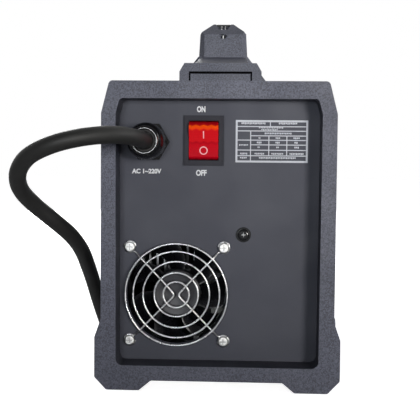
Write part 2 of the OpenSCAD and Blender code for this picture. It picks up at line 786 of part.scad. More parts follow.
module guard_screws() {
    color(steel) on_rear(fan_x, fan_z) corners(fan_pitch, fan_pitch) {
        translate([0, 0, screw_seat]) pan_head(guard_head_r, 2.6);
        disc(guard_screw_r, fan_z1 - 5, screw_seat + eps);
    }
}

module guard_nuts() {
    color(steel) on_rear(fan_x, fan_z) corners(fan_pitch, fan_pitch) difference() {
        hexagon(7, fan_z1 - 3.2, fan_z1);
        disc(guard_screw_r + run_gap, fan_z1 - 4, fan_z1 + cut);
    }
}

// ---------------------------------------------------------------- power switch

flange_t = 2.2;
window_w = 22.7;
window_h = 29.9;
housing_w = 27.6;
housing_h = 34.4;
housing_z = -26;
cavity_z = -14;
pivot_z = flange_t - 3.4;
pin_r = 1.5;
rocker_w = window_w - 0.6;

module switch_frame() {
    color(black) on_rear(switch_x, switch_z) difference() {
        union() {
            linear_extrude(flange_t - 0.7) square([switch_w, switch_h], center = true);
            translate([0, 0, flange_t - 0.7 - eps]) linear_extrude(0.7 + eps)
                square([switch_w - 1.4, switch_h - 1.4], center = true);
            translate([0, 0, housing_z]) linear_extrude(-housing_z + eps)
                square([housing_w, housing_h], center = true);
        }
        translate([0, 0, cavity_z]) linear_extrude(flange_t - cavity_z + cut)
            square([window_w, window_h], center = true);
        translate([0, 0, pivot_z]) rotate([0, 90, 0])
            disc(pin_r + run_gap, -rocker_w / 2 - 1.7, rocker_w / 2 + 1.7);
    }
}

rocker_half = [[0, 4], [11.2, 6.2], [12.6, 5.2], [14, 3.1], [14.6, 0], [13.6, -3.4], [8, -7], [0, -7.6]];

module rocker() {
    outline = concat(rocker_half,
        [for (i = [len(rocker_half) - 2:-1:1]) [-rocker_half[i][0], rocker_half[i][1]]]);
    color(red) on_rear(switch_x, switch_z) translate([0, 0, pivot_z]) rotate([rocker_swing / 2, 0, 0])
        union() {
            translate([-rocker_w / 2, 0, 0]) rotate([90, 0, 90]) linear_extrude(rocker_w) polygon(outline);
            rotate([0, 90, 0]) disc(pin_r, -rocker_w / 2 - 1.4, rocker_w / 2 + 1.4);
        }
}

module switch_terminals() {
    color(brass) on_rear(switch_x, switch_z) for (x = [-7, 7], y = [-9, 9])
        translate([x - 0.4, y - 3.15, housing_z - 9]) cube([0.8, 6.3, 9]);
}

// ---------------------------------------------------------------- cable gland

gland_thread_r = 11.1;
gland_hex_t = 5;
gland_nut_t = 5;
cap_r = 13.7;
cap_z0 = gland_hex_t + 0.4;
cap_z1 = recess_depth + 10;
mouth_r = 8.7;
cord_r = cord_d / 2;

module gland_body() {
    color(black) on_rear(gland_x, gland_z) difference() {
        union() {
            hexagon(gland_af, 0, gland_hex_t);
            disc(gland_thread_r, -sheet_t - gland_nut_t - 3, gland_hex_t + 14);
        }
        disc(cord_r + 0.3, -sheet_t - gland_nut_t - 4, gland_hex_t + 15);
    }
}

module gland_nut() {
    color(black) on_rear(gland_x, gland_z) difference() {
        hexagon(gland_af + 1, -sheet_t - gland_nut_t, -sheet_t);
        disc(gland_thread_r + run_gap, -sheet_t - gland_nut_t - cut, -sheet_t + cut);
    }
}

module gland_cap() {
    color(black) on_rear(gland_x, gland_z) rotate_extrude() polygon(concat(
        [[gland_thread_r + run_gap, cap_z0], [cap_r, cap_z0], [cap_r, cap_z1 - 9]],
        [for (a = [15:15:75]) [mouth_r + 0.8 + (cap_r - mouth_r - 0.8) * cos(a), cap_z1 - 9 + 8 * sin(a)]],
        [[mouth_r + 0.8, cap_z1 - 0.8], [mouth_r + 0.4, cap_z1], [mouth_r, cap_z1 - 0.4],
            [mouth_r, cap_z1 - 5],
            [gland_thread_r + run_gap, cap_z1 - 8]]));
}

module gland_seal() {
    color(black) on_rear(gland_x, gland_z)
        tube(mouth_r - 0.1, cord_r + run_gap, gland_hex_t + 14, cap_z1 - 2.4);
}

// ---------------------------------------------------------------- mains cord

// Free stretch: points set by hand, in millimetres
cord_route = [
    [gland_x, -174, gland_z], [gland_x, -190, gland_z], [gland_x, -205, gland_z],
    [-57, -224, 186], [-68, -241, 187], [-86, -253, 185], [-106, -256, 180], [-124, -249, 172],
    [-135, -235, 161], [-138, -217, 149], [-132, -200, 137], [-121, -187, 125], [-112, -171, 113],
    [-108, -151, 100], [-107, -128, 84], [-107, -104, 67], [-107, -82, 50], [-107, -60, 34],
    [-107, -38, 19], [-107, -18, 9.7], [-107, 5, 6.6], [-107, 32, 6.1], [-107, 65, 6], [-107, 98, 6],
    [-107, 132, 6], [-107, 163, 6], [-103, 187, 6], [-91, 205, 6], [-72, 215, 6], [-52, 216, 6],
    [-32, 216, 6]];

// The coil starts where the free stretch ends and its turns run anticlockwise
coil_out_r = 75;             // outermost turn
coil_centre = [-20, 291];
coil_step = 13.2;            // from turn to turn
layer_step = 13;             // from layer to layer
coil_turns = 3;
coil_rings = 24;             // rings in one turn
coil_end = 60;               // straight end to the plug

// Position after a turns: in along the lower layer and out along the upper one
function coil_at(a) =
    let (x = a - coil_turns / 2, t = min(max(2 * x + 0.5, 0), 1),
         f = abs(x) < 0.25 ? 2 * x * x + 0.125 : abs(x),
         r = coil_out_r - coil_step * (coil_turns / 2 - f))
    [coil_centre[0] + r * sin(360 * a), coil_centre[1] - r * cos(360 * a),
        cord_r + layer_step * t * t * (3 - 2 * t)];

coil_path = concat(
    [coil_at(0) - [cord_d, 0, 0]],
    [for (i = [0:coil_rings * coil_turns]) coil_at(i / coil_rings)],
    [coil_at(coil_turns) + [coil_end - cord_d, 0, 0], coil_at(coil_turns) + [coil_end, 0, 0]]);
coil_gap = min([for (i = [0:len(coil_path) - 1], j = [i + coil_rings / 2:1:len(coil_path) - 1])
    norm(coil_path[i] - coil_path[j])]) - cord_d;

function path_len(p, i = 0) = i >= len(p) - 1 ? 0 : norm(p[i + 1] - p[i]) + path_len(p, i + 1);

module power_cord() {
    color(black) sweep(spline(cord_route, 2), cord_r, 10, [1, 0, 0]);
}

module cord_coil() {
    echo(least_gap_of_the_coil_to_itself = coil_gap,
        cord_length = path_len(spline(cord_route, 2)) + path_len(coil_path));
    color(black) sweep(coil_path, cord_r, 6, [0, 0, 1]);
}

plug_r = 19;
plug_sleeve = 24;            // strain relief of the plug
plug_len = 34;
pin_len = 19;
plug_pin_r = 2.4;
pin_root_r = 3;              // the pin's thicker root inside the plug
pin_root_len = 12;
plug_pin_pitch = 19;

module at_plug() {
    translate(coil_at(coil_turns) + [coil_end, 0, 0]) rotate([0, 90, 0]) children();
}

module plug_body() {
    color(black) at_plug() difference() {
        rotate_extrude() polygon([[0, 0], [cord_r + 2.2, 0], [cord_r + 3.2, plug_sleeve],
            [13, plug_sleeve + 3], [17.4, plug_sleeve + 9], [plug_r, plug_sleeve + 16],
            [plug_r, plug_sleeve + plug_len - 1], [plug_r - 1, plug_sleeve + plug_len],
            [0, plug_sleeve + plug_len]]);
        for (s = [-1, 1]) {
            translate([0, s * plug_pin_pitch / 2, 0])
                disc(pin_root_r + run_gap, plug_sleeve + plug_len - pin_root_len,
                    plug_sleeve + plug_len + cut);
            // side notches with the earth contacts
            translate([s * (plug_r - 1.5), 0, plug_sleeve + plug_len - 14])
                translate([-2, -3, 0]) cube([4, 6, 14 + cut]);
        }
    }
}

module plug_pins() {
    pin_end = pin_root_len + pin_len;
    color(brass) at_plug() for (s = [-1, 1]) translate([0, s * plug_pin_pitch / 2, 0])
        translate([0, 0, plug_sleeve + plug_len - pin_root_len]) rotate_extrude()
            polygon([[0, 0], [pin_root_r, 0], [pin_root_r, pin_root_len], [plug_pin_r, pin_root_len],
                [plug_pin_r, pin_end - 1.2], [plug_pin_r - 1.1, pin_end], [0, pin_end]]);
}

// ---------------------------------------------------------------- front controls

module display_window() {
    color(black) on_front(0, display_z) {
        linear_extrude(1.2) square([display_w, display_h], center = true);
        translate([0, 0, -sheet_t - 5]) linear_extrude(sheet_t + 5 + eps)
            square([display_w - 4.4, display_h - 4.4], center = true);
    }
}

pot_shaft_r = 3;

module current_knob() {
    r = knob_d / 2;
    color(black) on_front(0, knob_z) difference() {
        union() {
            rotate_extrude() polygon([[0, 6], [8.5, 6], [8.5, 1], [r, 1], [r, 3], [r - 2, 5],
                [r - 3.6, 15.5], [r - 4.6, 16.5], [r - 8, 16.5], [r - 9, 16], [0, 16]]);
            disc(pot_shaft_r, -9, 7);
        }
        for (a = [0:30:330]) rotate(a) translate([r - 1, 0, 5.4]) cylinder(r = 2.2, h = 12, $fn = 24);
        translate([-0.6, r - 10, 15.7]) cube([1.2, 7, 2]);
    }
}

module potentiometer() {
    color(steel) on_front(0, knob_z) difference() {
        union() {
            disc(12, -sheet_t - 9.5, -sheet_t);
            disc(pot_bush_r, -sheet_t, 4.6);
            hexagon(11, 0, 2.2);
        }
        disc(pot_shaft_r + run_gap, -9.4, 5);
    }
}

module indicator_lamps() {
    color("orange") for (x = lamp_x) on_front(x, lamp_z)
        rotate_extrude() polygon(concat([[0, -sheet_t - 5], [lamp_r + 0.6, -sheet_t - 5],
            [lamp_r + 0.6, -sheet_t], [lamp_r, -sheet_t]],
            [for (a = [0:15:90]) [lamp_r * cos(a), 0.6 + lamp_r * sin(a)]]));
}

module push_button() {
    r = button_d / 2;
    rotate_extrude() polygon([[0, -4], [r, -4], [r, 3.9], [r - 0.7, 4.6], [0, 4.6]]);
}

module mode_button() { color("yellow") on_front(-button_x, knob_z) push_button(); }
module air_button() { color(red) on_front(button_x, knob_z) push_button(); }

module button_bases() {
    color(steel) for (x = [-button_x, button_x]) on_front(x, knob_z) difference() {
        union() {
            disc(bush_r, -sheet_t - 2, 2.6);
            hexagon(14, 0, 1.9);
            disc(8, -sheet_t - 10.4, -sheet_t);
        }
        disc(button_d / 2 + run_gap, -4 - button_travel - seat_gap, 3);
    }
}

contact_r = 9;
contact_bore_r = 4.5;
contact_depth = 22;

module work_socket() {
    color(black) on_front(-socket_x, socket_z) difference() {
        union() {
            rotate_extrude() polygon([[0, 0], [18, 0], [18, 2.4], [16.6, 3.6], [14, 3.6], [12.4, 10],
                [11.6, 10.8], [0, 10.8]]);
            disc(dinse_r, -sheet_t - 12, eps);
            hexagon(34, -sheet_t - 7, -sheet_t);
        }
        disc(contact_r + run_gap, -sheet_t - 13, 12);
    }
}

module work_contact() {
    color(brass) on_front(-socket_x, socket_z) difference() {
        union() {
            disc(contact_r, -sheet_t - 16, 8.6);
            disc(5, -sheet_t - 32, -sheet_t - 16 + eps);
        }
        disc(contact_bore_r, 8.6 - contact_depth, 9);
    }
}

torch_thread_r = 8;

module torch_connector() {
    color(brass) on_front(socket_x, socket_z) difference() {
        union() {
            hexagon(26, 0, 6);
            disc(torch_thread_r, 5, 18);
            disc(torch_neck_r, -sheet_t - 14, eps);
            hexagon(27, -sheet_t - 6, -sheet_t);
            disc(4, -sheet_t - 26, -sheet_t - 14 + eps);
        }
        disc(2.5, -sheet_t - 27, 19);
        translate([0, 0, 14]) cylinder(r1 = 2.5, r2 = 6.5, h = 4 + eps);
    }
}

module trigger_socket() {
    color(steel) on_front(0, trigger_z) {
        difference() {
            union() {
                disc(trigger_neck_r, -sheet_t - 12, 10);
                disc(10.5, 0, 2.4);
                hexagon(19, -sheet_t - 3, -sheet_t);
            }
            disc(6.2, 1, 11);
            translate([-1, 5, 1]) cube([2, 2, 10]);
        }
        for (x = [-2.4, 2.4]) translate([x, 0, 0]) disc(0.8, 1 - eps, 8);
    }
}

// ---------------------------------------------------------------- electronics

control_z = -sheet_t - 12;           // front face of the board behind the front panel
board_t = 1.6;
control_mid_z = 152;
post_x = 52;
post_z = [108, 196];

control_w = 120;
control_h = 98;
header_w = 14;
header_h = 8;
relay_w = 20;

module control_board() {
    color(board_green) on_front(0, control_mid_z) translate([0, 0, control_z - board_t]) {
        translate([-control_w / 2, -control_h / 2, 0]) cube([control_w, control_h, board_t]);
        for (i = [-3, -1, 1, 3])
            translate([i * header_w - header_w / 2, -control_h / 4, -3]) cube([header_w, header_h, 3 + eps]);
        for (x = [-2.2 * relay_w, 1.4 * relay_w])
            translate([x, control_h / 7, -header_h]) cube([relay_w, header_h, header_h + eps]);
    }
}

motor_d0 = case_len - 198;   // front end of the compressor's motor
board_z = 151;
board_d0 = 64;
board_d1 = 196;
module_h = 30;
module_w = 34;
module_d0 = 70;
module_d1 = 162;
module_pitch = 46;
power_post_x = 68;
power_post_d = [board_d0 + 6, board_d1 - 6];
board_half = power_post_x + 5;
can_h = 46;
can_r = 17;
can_x = -12;                 // middle column
can_pitch = 37;
can_d0 = board_d0 + 30;
can_row = 44;
choke_x = 44;                // chokes beside the capacitors
choke_w = 22;
choke_d = board_d0 + 20;

module board_posts() {
    color(brass) {
        for (sx = [-1, 1], d = power_post_d)
            translate([sx * power_post_x, rear_y + d, 0]) disc(2.6, shelf_top, board_z);
        for (x = [-post_x, post_x], z = post_z) on_front(x, z) disc(2.6, control_z, -sheet_t);
    }
}

module power_board() {
    top = board_z + board_t - eps;
    color(board_green) {
        box(-board_half, board_half, rear_y + board_d0, rear_y + board_d1, board_z, board_z + board_t);
        box(choke_x, choke_x + choke_w, rear_y + choke_d, rear_y + choke_d + 1.3 * choke_w,
            top, top + choke_w);
        box(choke_x, choke_x + choke_w, rear_y + choke_d + 2 * choke_w, rear_y + choke_d + 3 * choke_w,
            top, top + 0.8 * choke_w);
        box(-3 * choke_w, -choke_w, rear_y + board_d1 - 28, rear_y + board_d1 - 18, top, top + choke_w / 2);
    }
}

module power_modules() {
    color(black) for (i = [-1, 0, 1]) difference() {
        box(i * module_pitch - module_w / 2, i * module_pitch + module_w / 2, rear_y + module_d0,
            rear_y + module_d1, shelf_top, shelf_top + module_h - 0.4);
        for (d = [module_d0 + 8, module_d1 - 8]) translate([i * module_pitch, rear_y + d, shelf_top - cut])
            disc(3.2, 0, module_h + 2 * cut);
    }
}

module capacitors() {
    color("#24407a") for (i = [-1, 0, 1], k = [0, 1])
        translate([can_x + i * can_pitch, rear_y + can_d0 + k * can_row, board_z + board_t])
            rotate_extrude() polygon([[0, 0], [can_r - 0.6, 0], [can_r, 2], [can_r - 1, 4], [can_r, 6],
                [can_r, can_h - 1], [can_r - 1, can_h], [0, can_h]]);
}

sink_base = 6;
sink_h = 38;
fin_t = 1.8;
fin_pitch = 6.1;
sink_half = 33.5;

sink_d1 = motor_d0 - 24;     // the sinks end in front of the compressor's fan
module heat_sinks() {
    color("silver") for (sx = [-1, 1]) translate([sx * (sink_half + 3), 0, 0])
        translate([0, rear_y + sink_d1, 0]) rotate([90, 0, 0])
            linear_extrude(sink_d1 - board_d0 - 2) union() {
                translate([-sink_half, shelf_z - sink_base]) square([2 * sink_half, sink_base]);
                for (x = [-sink_half:fin_pitch:sink_half - fin_t])
                    translate([x, shelf_z - sink_h]) square([fin_t, sink_h - 1]);
            }
}

core_x = -38;
core_d = 244;
core_w = 64;
core_l = 46;
core_h = 58;
limb = 14;

module transformer_core() {
    color("#3a3a3d") translate([core_x, rear_y + core_d, shelf_top]) difference() {
        translate([-core_w / 2, -core_l / 2, 0]) cube([core_w, core_l, core_h]);
        for (sx = [-1, 1]) translate([sx * (core_w / 4 + limb / 8) - 7.5, -core_l / 2 - cut, limb * 0.7])
            cube([15, core_l + 2 * cut, core_h - limb * 1.4]);
    }
}

module transformer_coil() {
    inner = core_w / 4 + limb / 8 - 7.5;
    color(copper) translate([core_x, rear_y + core_d, shelf_top + limb * 0.7 + 0.3])
        linear_extrude(core_h - limb * 1.4 - 0.6) difference() {
            polygon(rounded([[-inner - 14.4, -core_l / 2 - 12], [inner + 14.4, -core_l / 2 - 12],
                [inner + 14.4, core_l / 2 + 12], [-inner - 14.4, core_l / 2 + 12]], [10, 10, 10, 10]));
            square([2 * inner + 0.6, core_l + 0.6], center = true);
        }
}

inductor_x = 38;
inductor_r = 35;
inductor_bore = 13;
inductor_h = 32;

module output_inductor() {
    color(copper) translate([inductor_x, rear_y + core_d, shelf_top]) rotate_extrude()
        polygon(rounded([[inductor_bore, 0], [inductor_r, 0], [inductor_r, inductor_h],
            [inductor_bore, inductor_h]], [6, 6, 6, 6]));
}

filter_x = 28;
filter_w = 42;
filter_d0 = 40;
filter_len = 56;
filter_h = 34;

module mains_filter() {
    top = tray_top + filter_h;
    color(steel) {
        box(filter_x, filter_x + filter_w, rear_y + filter_d0, rear_y + filter_d0 + filter_len,
            tray_top, top);
        for (i = [1, 2, 3]) translate([filter_x + i * filter_w / 4 - 3, rear_y + filter_d0 + 6, top - eps])
            cube([6, 0.8, 10]);
    }
}

// ---------------------------------------------------------------- compressor

motor_r = motor_d / 2;
crank_d0 = motor_d0 + motor_len + 2;
crank_len = 52;
stator_r = 23;
rotor_r = 22.5;
comp_shaft_r = 4;
bell_t = 5;
crank_half = 29;
plate_z0 = 22;
plate_z1 = 24.5;

// A place on the compressor's shaft: local Z runs along +Y from the rear face
module on_shaft() {
    translate([comp_x, rear_y, comp_z]) rotate([-90, 0, 0]) children();
}

module compressor_motor() {
    color("#8d9097") on_shaft() {
        rotate_extrude() translate([0, motor_d0]) polygon([[comp_shaft_r + run_gap, 0], [motor_r - 6, 0],
            [motor_r, 6], [motor_r, motor_len - 6], [motor_r - 6, motor_len],
            [comp_shaft_r + run_gap, motor_len], [comp_shaft_r + run_gap, motor_len - bell_t],
            [stator_r, motor_len - bell_t], [stator_r, bell_t], [comp_shaft_r + run_gap, bell_t]]);
    }
}

module compressor_rotor() {
    color(steel) on_shaft() {
        disc(comp_shaft_r, motor_d0 - 12, crank_d0 + 30);
        disc(rotor_r, motor_d0 + bell_t + 3, motor_d0 + motor_len - bell_t - 3);
        disc(9, motor_d0 - 11, motor_d0 - 3);
        for (a = [0:60:300]) rotate(a) translate([0, -0.8, motor_d0 - 10]) cube([30, 1.6, 6]);
        // counterweight of the crank
        intersection() {
            disc(18, crank_d0 + 12, crank_d0 + 20);
            translate([-20, -4, crank_d0 + 11]) cube([40, 24, 10]);
        }
    }
}

module compressor_crankcase() {
    color("#8d9097") on_shaft() difference() {
        union() {
            translate([-crank_half, -crank_half, crank_d0]) cube([2 * crank_half, 2 * crank_half, crank_len]);
            disc(motor_r - 8, motor_d0 + motor_len, crank_d0 + eps);
        }
        disc(22, crank_d0 + 7, crank_d0 + crank_len - 5);
        disc(comp_shaft_r + run_gap, motor_d0 + motor_len - cut, crank_d0 + 8);
    }
}

head_len = 44;

module compressor_head() {
    color("silver") translate([comp_x - crank_half, rear_y + crank_d0 + crank_len / 2, comp_z])
        rotate([0, -90, 0]) union() {
            disc(15, 0, head_len - 8);
            for (i = [0:4]) translate([0, 0, 4 + i * 6]) cylinder(r = 23, h = 2);
            translate([-22, -22, head_len - 9]) cube([44, 44, 9]);
            // outlet port on top
            translate([20, 0, head_len - 5]) rotate([0, 90, 0]) disc(3.6, 0, 8);
        }
}

module compressor_plate() {
    head_x = comp_x - crank_half - head_len;
    color(steel) difference() {
        union() {
            box(head_x + 6, comp_x + motor_r, rear_y + motor_d0 - 4, rear_y + crank_d0 + crank_len,
                plate_z0, plate_z1);
            for (d = [motor_d0 + 8, motor_d0 + motor_len - 18])
                box(comp_x - 24, comp_x + 24, rear_y + d, rear_y + d + 10, plate_z1 - eps, comp_z - 22);
            box(comp_x - crank_half + 4, comp_x + crank_half - 4, rear_y + crank_d0 + 6,
                rear_y + crank_d0 + crank_len - 6, plate_z1 - eps, comp_z - crank_half);
        }
        on_shaft() disc(motor_r + seat_gap, motor_d0 - cut, motor_d0 + motor_len + cut);
    }
}

module compressor_feet() {
    head_x = comp_x - crank_half - head_len;
    mid_z = (tray_top + plate_z0) / 2;
    color(black) for (x = [head_x + 16, comp_x + motor_r - 10],
            d = [motor_d0 + 8, crank_d0 + crank_len - 12])
        translate([x, rear_y + d, 0]) rotate_extrude()
            polygon([[0, tray_top], [9, tray_top], [7, mid_z], [9, plate_z0], [0, plate_z0]]);
}

valve_x = 64;
valve_d = crank_d0 + crank_len / 2 + 40;
valve_z1 = 38;

module air_valve() {
    color(brass) {
        box(valve_x - 12, valve_x + 12, rear_y + valve_d - 12, rear_y + valve_d + 12, tray_top, valve_z1);
        translate([valve_x, rear_y + valve_d, 0]) disc(3.6, valve_z1 - eps, valve_z1 + 5);
    }
}

hose_r = 4;
port_x = comp_x - crank_half - head_len + 5;
port_y = rear_y + crank_d0 + crank_len / 2;
port_z = comp_z + 28;
hose_route = [[port_x, port_y, port_z], [port_x, port_y, port_z + 3], [port_x, port_y, port_z + 6],
    [port_x + 5, port_y + 2, port_z + 11],
    [port_x + 18, port_y + 5, port_z + 14], [port_x + 45, port_y + 12, port_z + 14],
    [valve_x - 24, port_y + 24, port_z + 14], [valve_x - 6, port_y + 33, port_z + 10],
    [valve_x, rear_y + valve_d - 4, port_z - 4], [valve_x, rear_y + valve_d, port_z - 22],
    [valve_x, rear_y + valve_d, valve_z1 + 14], [valve_x, rear_y + valve_d, valve_z1 + 5]];

module air_hose() {
    color("#2a4f9a") sweep(spline(hose_route, 2), hose_r, 8, [0, 1, 0]);
}

rear_bezel();
front_bezel();
rear_panel();
front_panel();
cover();
base_tray();
inner_frame();
side_screws();
cover_screws();
panel_screw();
handle();
handle_pad();
handle_screws();
fan_frame();
fan_rotor();
fan_guard();
guard_wires();
guard_screws();
guard_nuts();
switch_frame();
rocker();
switch_terminals();
gland_body();
gland_nut();
gland_cap();
gland_seal();
power_cord();
cord_coil();
plug_body();
plug_pins();
display_window();
current_knob();
potentiometer();
indicator_lamps();
mode_button();
air_button();
button_bases();
work_socket();
work_contact();
torch_connector();
trigger_socket();
control_board();
power_board();
board_posts();
heat_sinks();
power_modules();
capacitors();
transformer_core();
transformer_coil();
output_inductor();
mains_filter();
compressor_motor();
compressor_rotor();
compressor_crankcase();
compressor_head();
compressor_plate();
compressor_feet();
air_valve();
air_hose();
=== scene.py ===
import math

import bmesh
import bpy
from mathutils import Matrix, Vector
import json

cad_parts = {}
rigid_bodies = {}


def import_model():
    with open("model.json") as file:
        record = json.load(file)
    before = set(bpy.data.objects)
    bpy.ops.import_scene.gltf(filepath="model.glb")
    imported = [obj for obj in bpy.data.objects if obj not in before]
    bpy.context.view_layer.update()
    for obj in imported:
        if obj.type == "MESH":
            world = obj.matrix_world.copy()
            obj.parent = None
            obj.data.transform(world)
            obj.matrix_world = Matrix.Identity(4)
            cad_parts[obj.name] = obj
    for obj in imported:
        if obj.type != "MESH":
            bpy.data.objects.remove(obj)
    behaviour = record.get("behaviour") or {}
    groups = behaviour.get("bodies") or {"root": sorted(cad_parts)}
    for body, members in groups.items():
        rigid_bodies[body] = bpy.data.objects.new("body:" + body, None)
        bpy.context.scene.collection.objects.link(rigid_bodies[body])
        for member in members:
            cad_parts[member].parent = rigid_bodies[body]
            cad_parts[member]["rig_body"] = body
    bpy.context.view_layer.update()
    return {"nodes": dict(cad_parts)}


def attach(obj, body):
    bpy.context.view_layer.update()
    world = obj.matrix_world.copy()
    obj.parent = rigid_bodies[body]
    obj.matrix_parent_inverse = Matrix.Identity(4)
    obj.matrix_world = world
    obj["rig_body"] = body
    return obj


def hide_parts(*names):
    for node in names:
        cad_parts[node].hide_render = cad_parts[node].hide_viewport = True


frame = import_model()
cad_nodes = frame["nodes"]
scene = bpy.context.scene

# sizes and places are in millimetres, except where a comment says metres; angles are in degrees
MM = 0.001
REAR_Y = -190.0  # the rear bezel's face; the front bezel's face is opposite
PANEL = 22.0  # from a bezel's face in to its panel
SHARP_ANGLE = 32  # edges above this many degrees stay sharp

# ------------------------------------------------------------------ camera, in metres
CAMERA_AT = (0.02003, -0.790, 0.1661)
camera_data = bpy.data.cameras.new("camera")
camera = bpy.data.objects.new("camera", camera_data)
scene.collection.objects.link(camera)
scene.camera = camera
camera_data.sensor_width = 36
camera_data.lens = 70.52
camera_data.clip_start = 0.01
camera_data.clip_end = 50
yaw, pitch, roll = math.radians(2.455), math.radians(3.0), math.radians(0.525)
ahead = Vector((-math.sin(yaw) * math.cos(pitch), math.cos(yaw) * math.cos(pitch), -math.sin(pitch)))
right = Vector((math.cos(yaw), math.sin(yaw), 0))
up = right.cross(ahead)
right, up = right * math.cos(roll) + up * math.sin(roll), up * math.cos(roll) - right * math.sin(roll)
turned = Matrix((right, up, -ahead)).transposed().to_4x4()
camera.matrix_world = Matrix.Translation(CAMERA_AT) @ turned


# ------------------------------------------------------------------ material helpers
def node_tree(name):
    """A material with a linked shader, and the place on the object in metres."""
    mat = bpy.data.materials.new(name)
    mat.use_nodes = True
    tree = mat.node_tree
    tree.nodes.clear()
    out = tree.nodes.new("ShaderNodeOutputMaterial")
    shader = tree.nodes.new("ShaderNodeBsdfPrincipled")
    tree.links.new(shader.outputs[0], out.inputs[0])
    coord = tree.nodes.new("ShaderNodeTexCoord").outputs["Object"]
    return mat, tree, shader, coord


def set_inputs(node, values):
    for key, value in values.items():
        node.inputs[key].default_value = value


def noise(tree, coord, scale, detail=3.0, rough=0.55):
    n = tree.nodes.new("ShaderNodeTexNoise")
    set_inputs(n, {"Scale": scale, "Detail": detail, "Roughness": rough})
    tree.links.new(coord, n.inputs["Vector"])
    return n.outputs["Fac"]


def waves(tree, coord, axis, scale, distortion=0.0):
    """Soft bands that follow each other along an axis."""
    n = tree.nodes.new("ShaderNodeTexWave")
    n.bands_direction = axis
    set_inputs(n, {"Scale": scale, "Distortion": distortion})
    tree.links.new(coord, n.inputs["Vector"])
    return n.outputs["Fac"]


def mapped(tree, value, low, high, out_low, out_high):
    n = tree.nodes.new("ShaderNodeMapRange")
    set_inputs(n, {"From Min": low, "From Max": high, "To Min": out_low, "To Max": out_high})
    tree.links.new(value, n.inputs["Value"])
    return n.outputs["Result"]


def mixed(tree, fac, a, b):
    n = tree.nodes.new("ShaderNodeMix")
    n.data_type = "RGBA"
    tree.links.new(fac, n.inputs["Factor"])
    for socket, v in ((n.inputs[6], a), (n.inputs[7], b)):
        if isinstance(v, tuple):
            socket.default_value = (*v, 1)
        else:
            tree.links.new(v, socket)
    return n.outputs[2]


def math_node(tree, op, a, b=None):
    n = tree.nodes.new("ShaderNodeMath")
    n.operation = op
    for socket, v in zip(n.inputs, (a, b)):
        if v is None:
            continue
        if isinstance(v, (int, float)):
            socket.default_value = v
        else:
            tree.links.new(v, socket)
    return n.outputs[0]


def axes(tree, vector):
    """The X, Y and Z outputs of a vector."""
    split = tree.nodes.new("ShaderNodeSeparateXYZ")
    tree.links.new(vector, split.inputs[0])
    return split.outputs


def within(tree, value, half):
    """1 where a value lies between -half and half, else 0."""
    return math_node(tree, "LESS_THAN", math_node(tree, "ABSOLUTE", value), half)


def seen_directly(tree, path):
    """1 for what the camera sees, also through glass, and 0 for light and reflections."""
    return math_node(tree, "MAXIMUM", path.outputs["Is Camera Ray"], path.outputs["Is Transmission Ray"])


def edge_mask(tree, radius):
    """1 along convex and concave edges, 0 on flat faces."""
    bevel = tree.nodes.new("ShaderNodeBevel")
    bevel.samples = 4
    bevel.inputs["Radius"].default_value = radius
    geometry = tree.nodes.new("ShaderNodeNewGeometry")
    dot = tree.nodes.new("ShaderNodeVectorMath")
    dot.operation = "DOT_PRODUCT"
    tree.links.new(bevel.outputs[0], dot.inputs[0])
    tree.links.new(geometry.outputs["Normal"], dot.inputs[1])
    return mapped(tree, dot.outputs["Value"], 0.995, 0.86, 0, 1)


def bumped(tree, shader, parts):
    """Adds (height, strength, distance) parts one after another."""
    normal = None
    for height, strength, distance in parts:
        n = tree.nodes.new("ShaderNodeBump")
        set_inputs(n, {"Strength": strength, "Distance": distance})
        tree.links.new(height, n.inputs["Height"])
        if normal:
            tree.links.new(normal, n.inputs["Normal"])
        normal = n.outputs[0]
    tree.links.new(normal, shader.inputs["Normal"])


def recess_shade(tree, coord, tone):
    """Paints shade on a bezel's plastic inside its recess, from just behind the recess's edge."""
    half_width, middle, half_height = 77.8 * MM, 117 * MM, 101 * MM
    shallow, deep = (-REAR_Y - 0.4) * MM, (-REAR_Y - 2.2) * MM
    strength, shade = 0.58, (0.006, 0.007, 0.011)
    place = axes(tree, coord)
    inside = mapped(tree, math_node(tree, "ABSOLUTE", place["Y"]), shallow, deep, 0, 1)
    across = within(tree, place["X"], half_width)
    upright = within(tree, math_node(tree, "SUBTRACT", place["Z"], middle), half_height)
    mask = math_node(tree, "MULTIPLY", inside, math_node(tree, "MULTIPLY", across, upright))
    return mixed(tree, math_node(tree, "MULTIPLY", mask, strength), tone, shade)


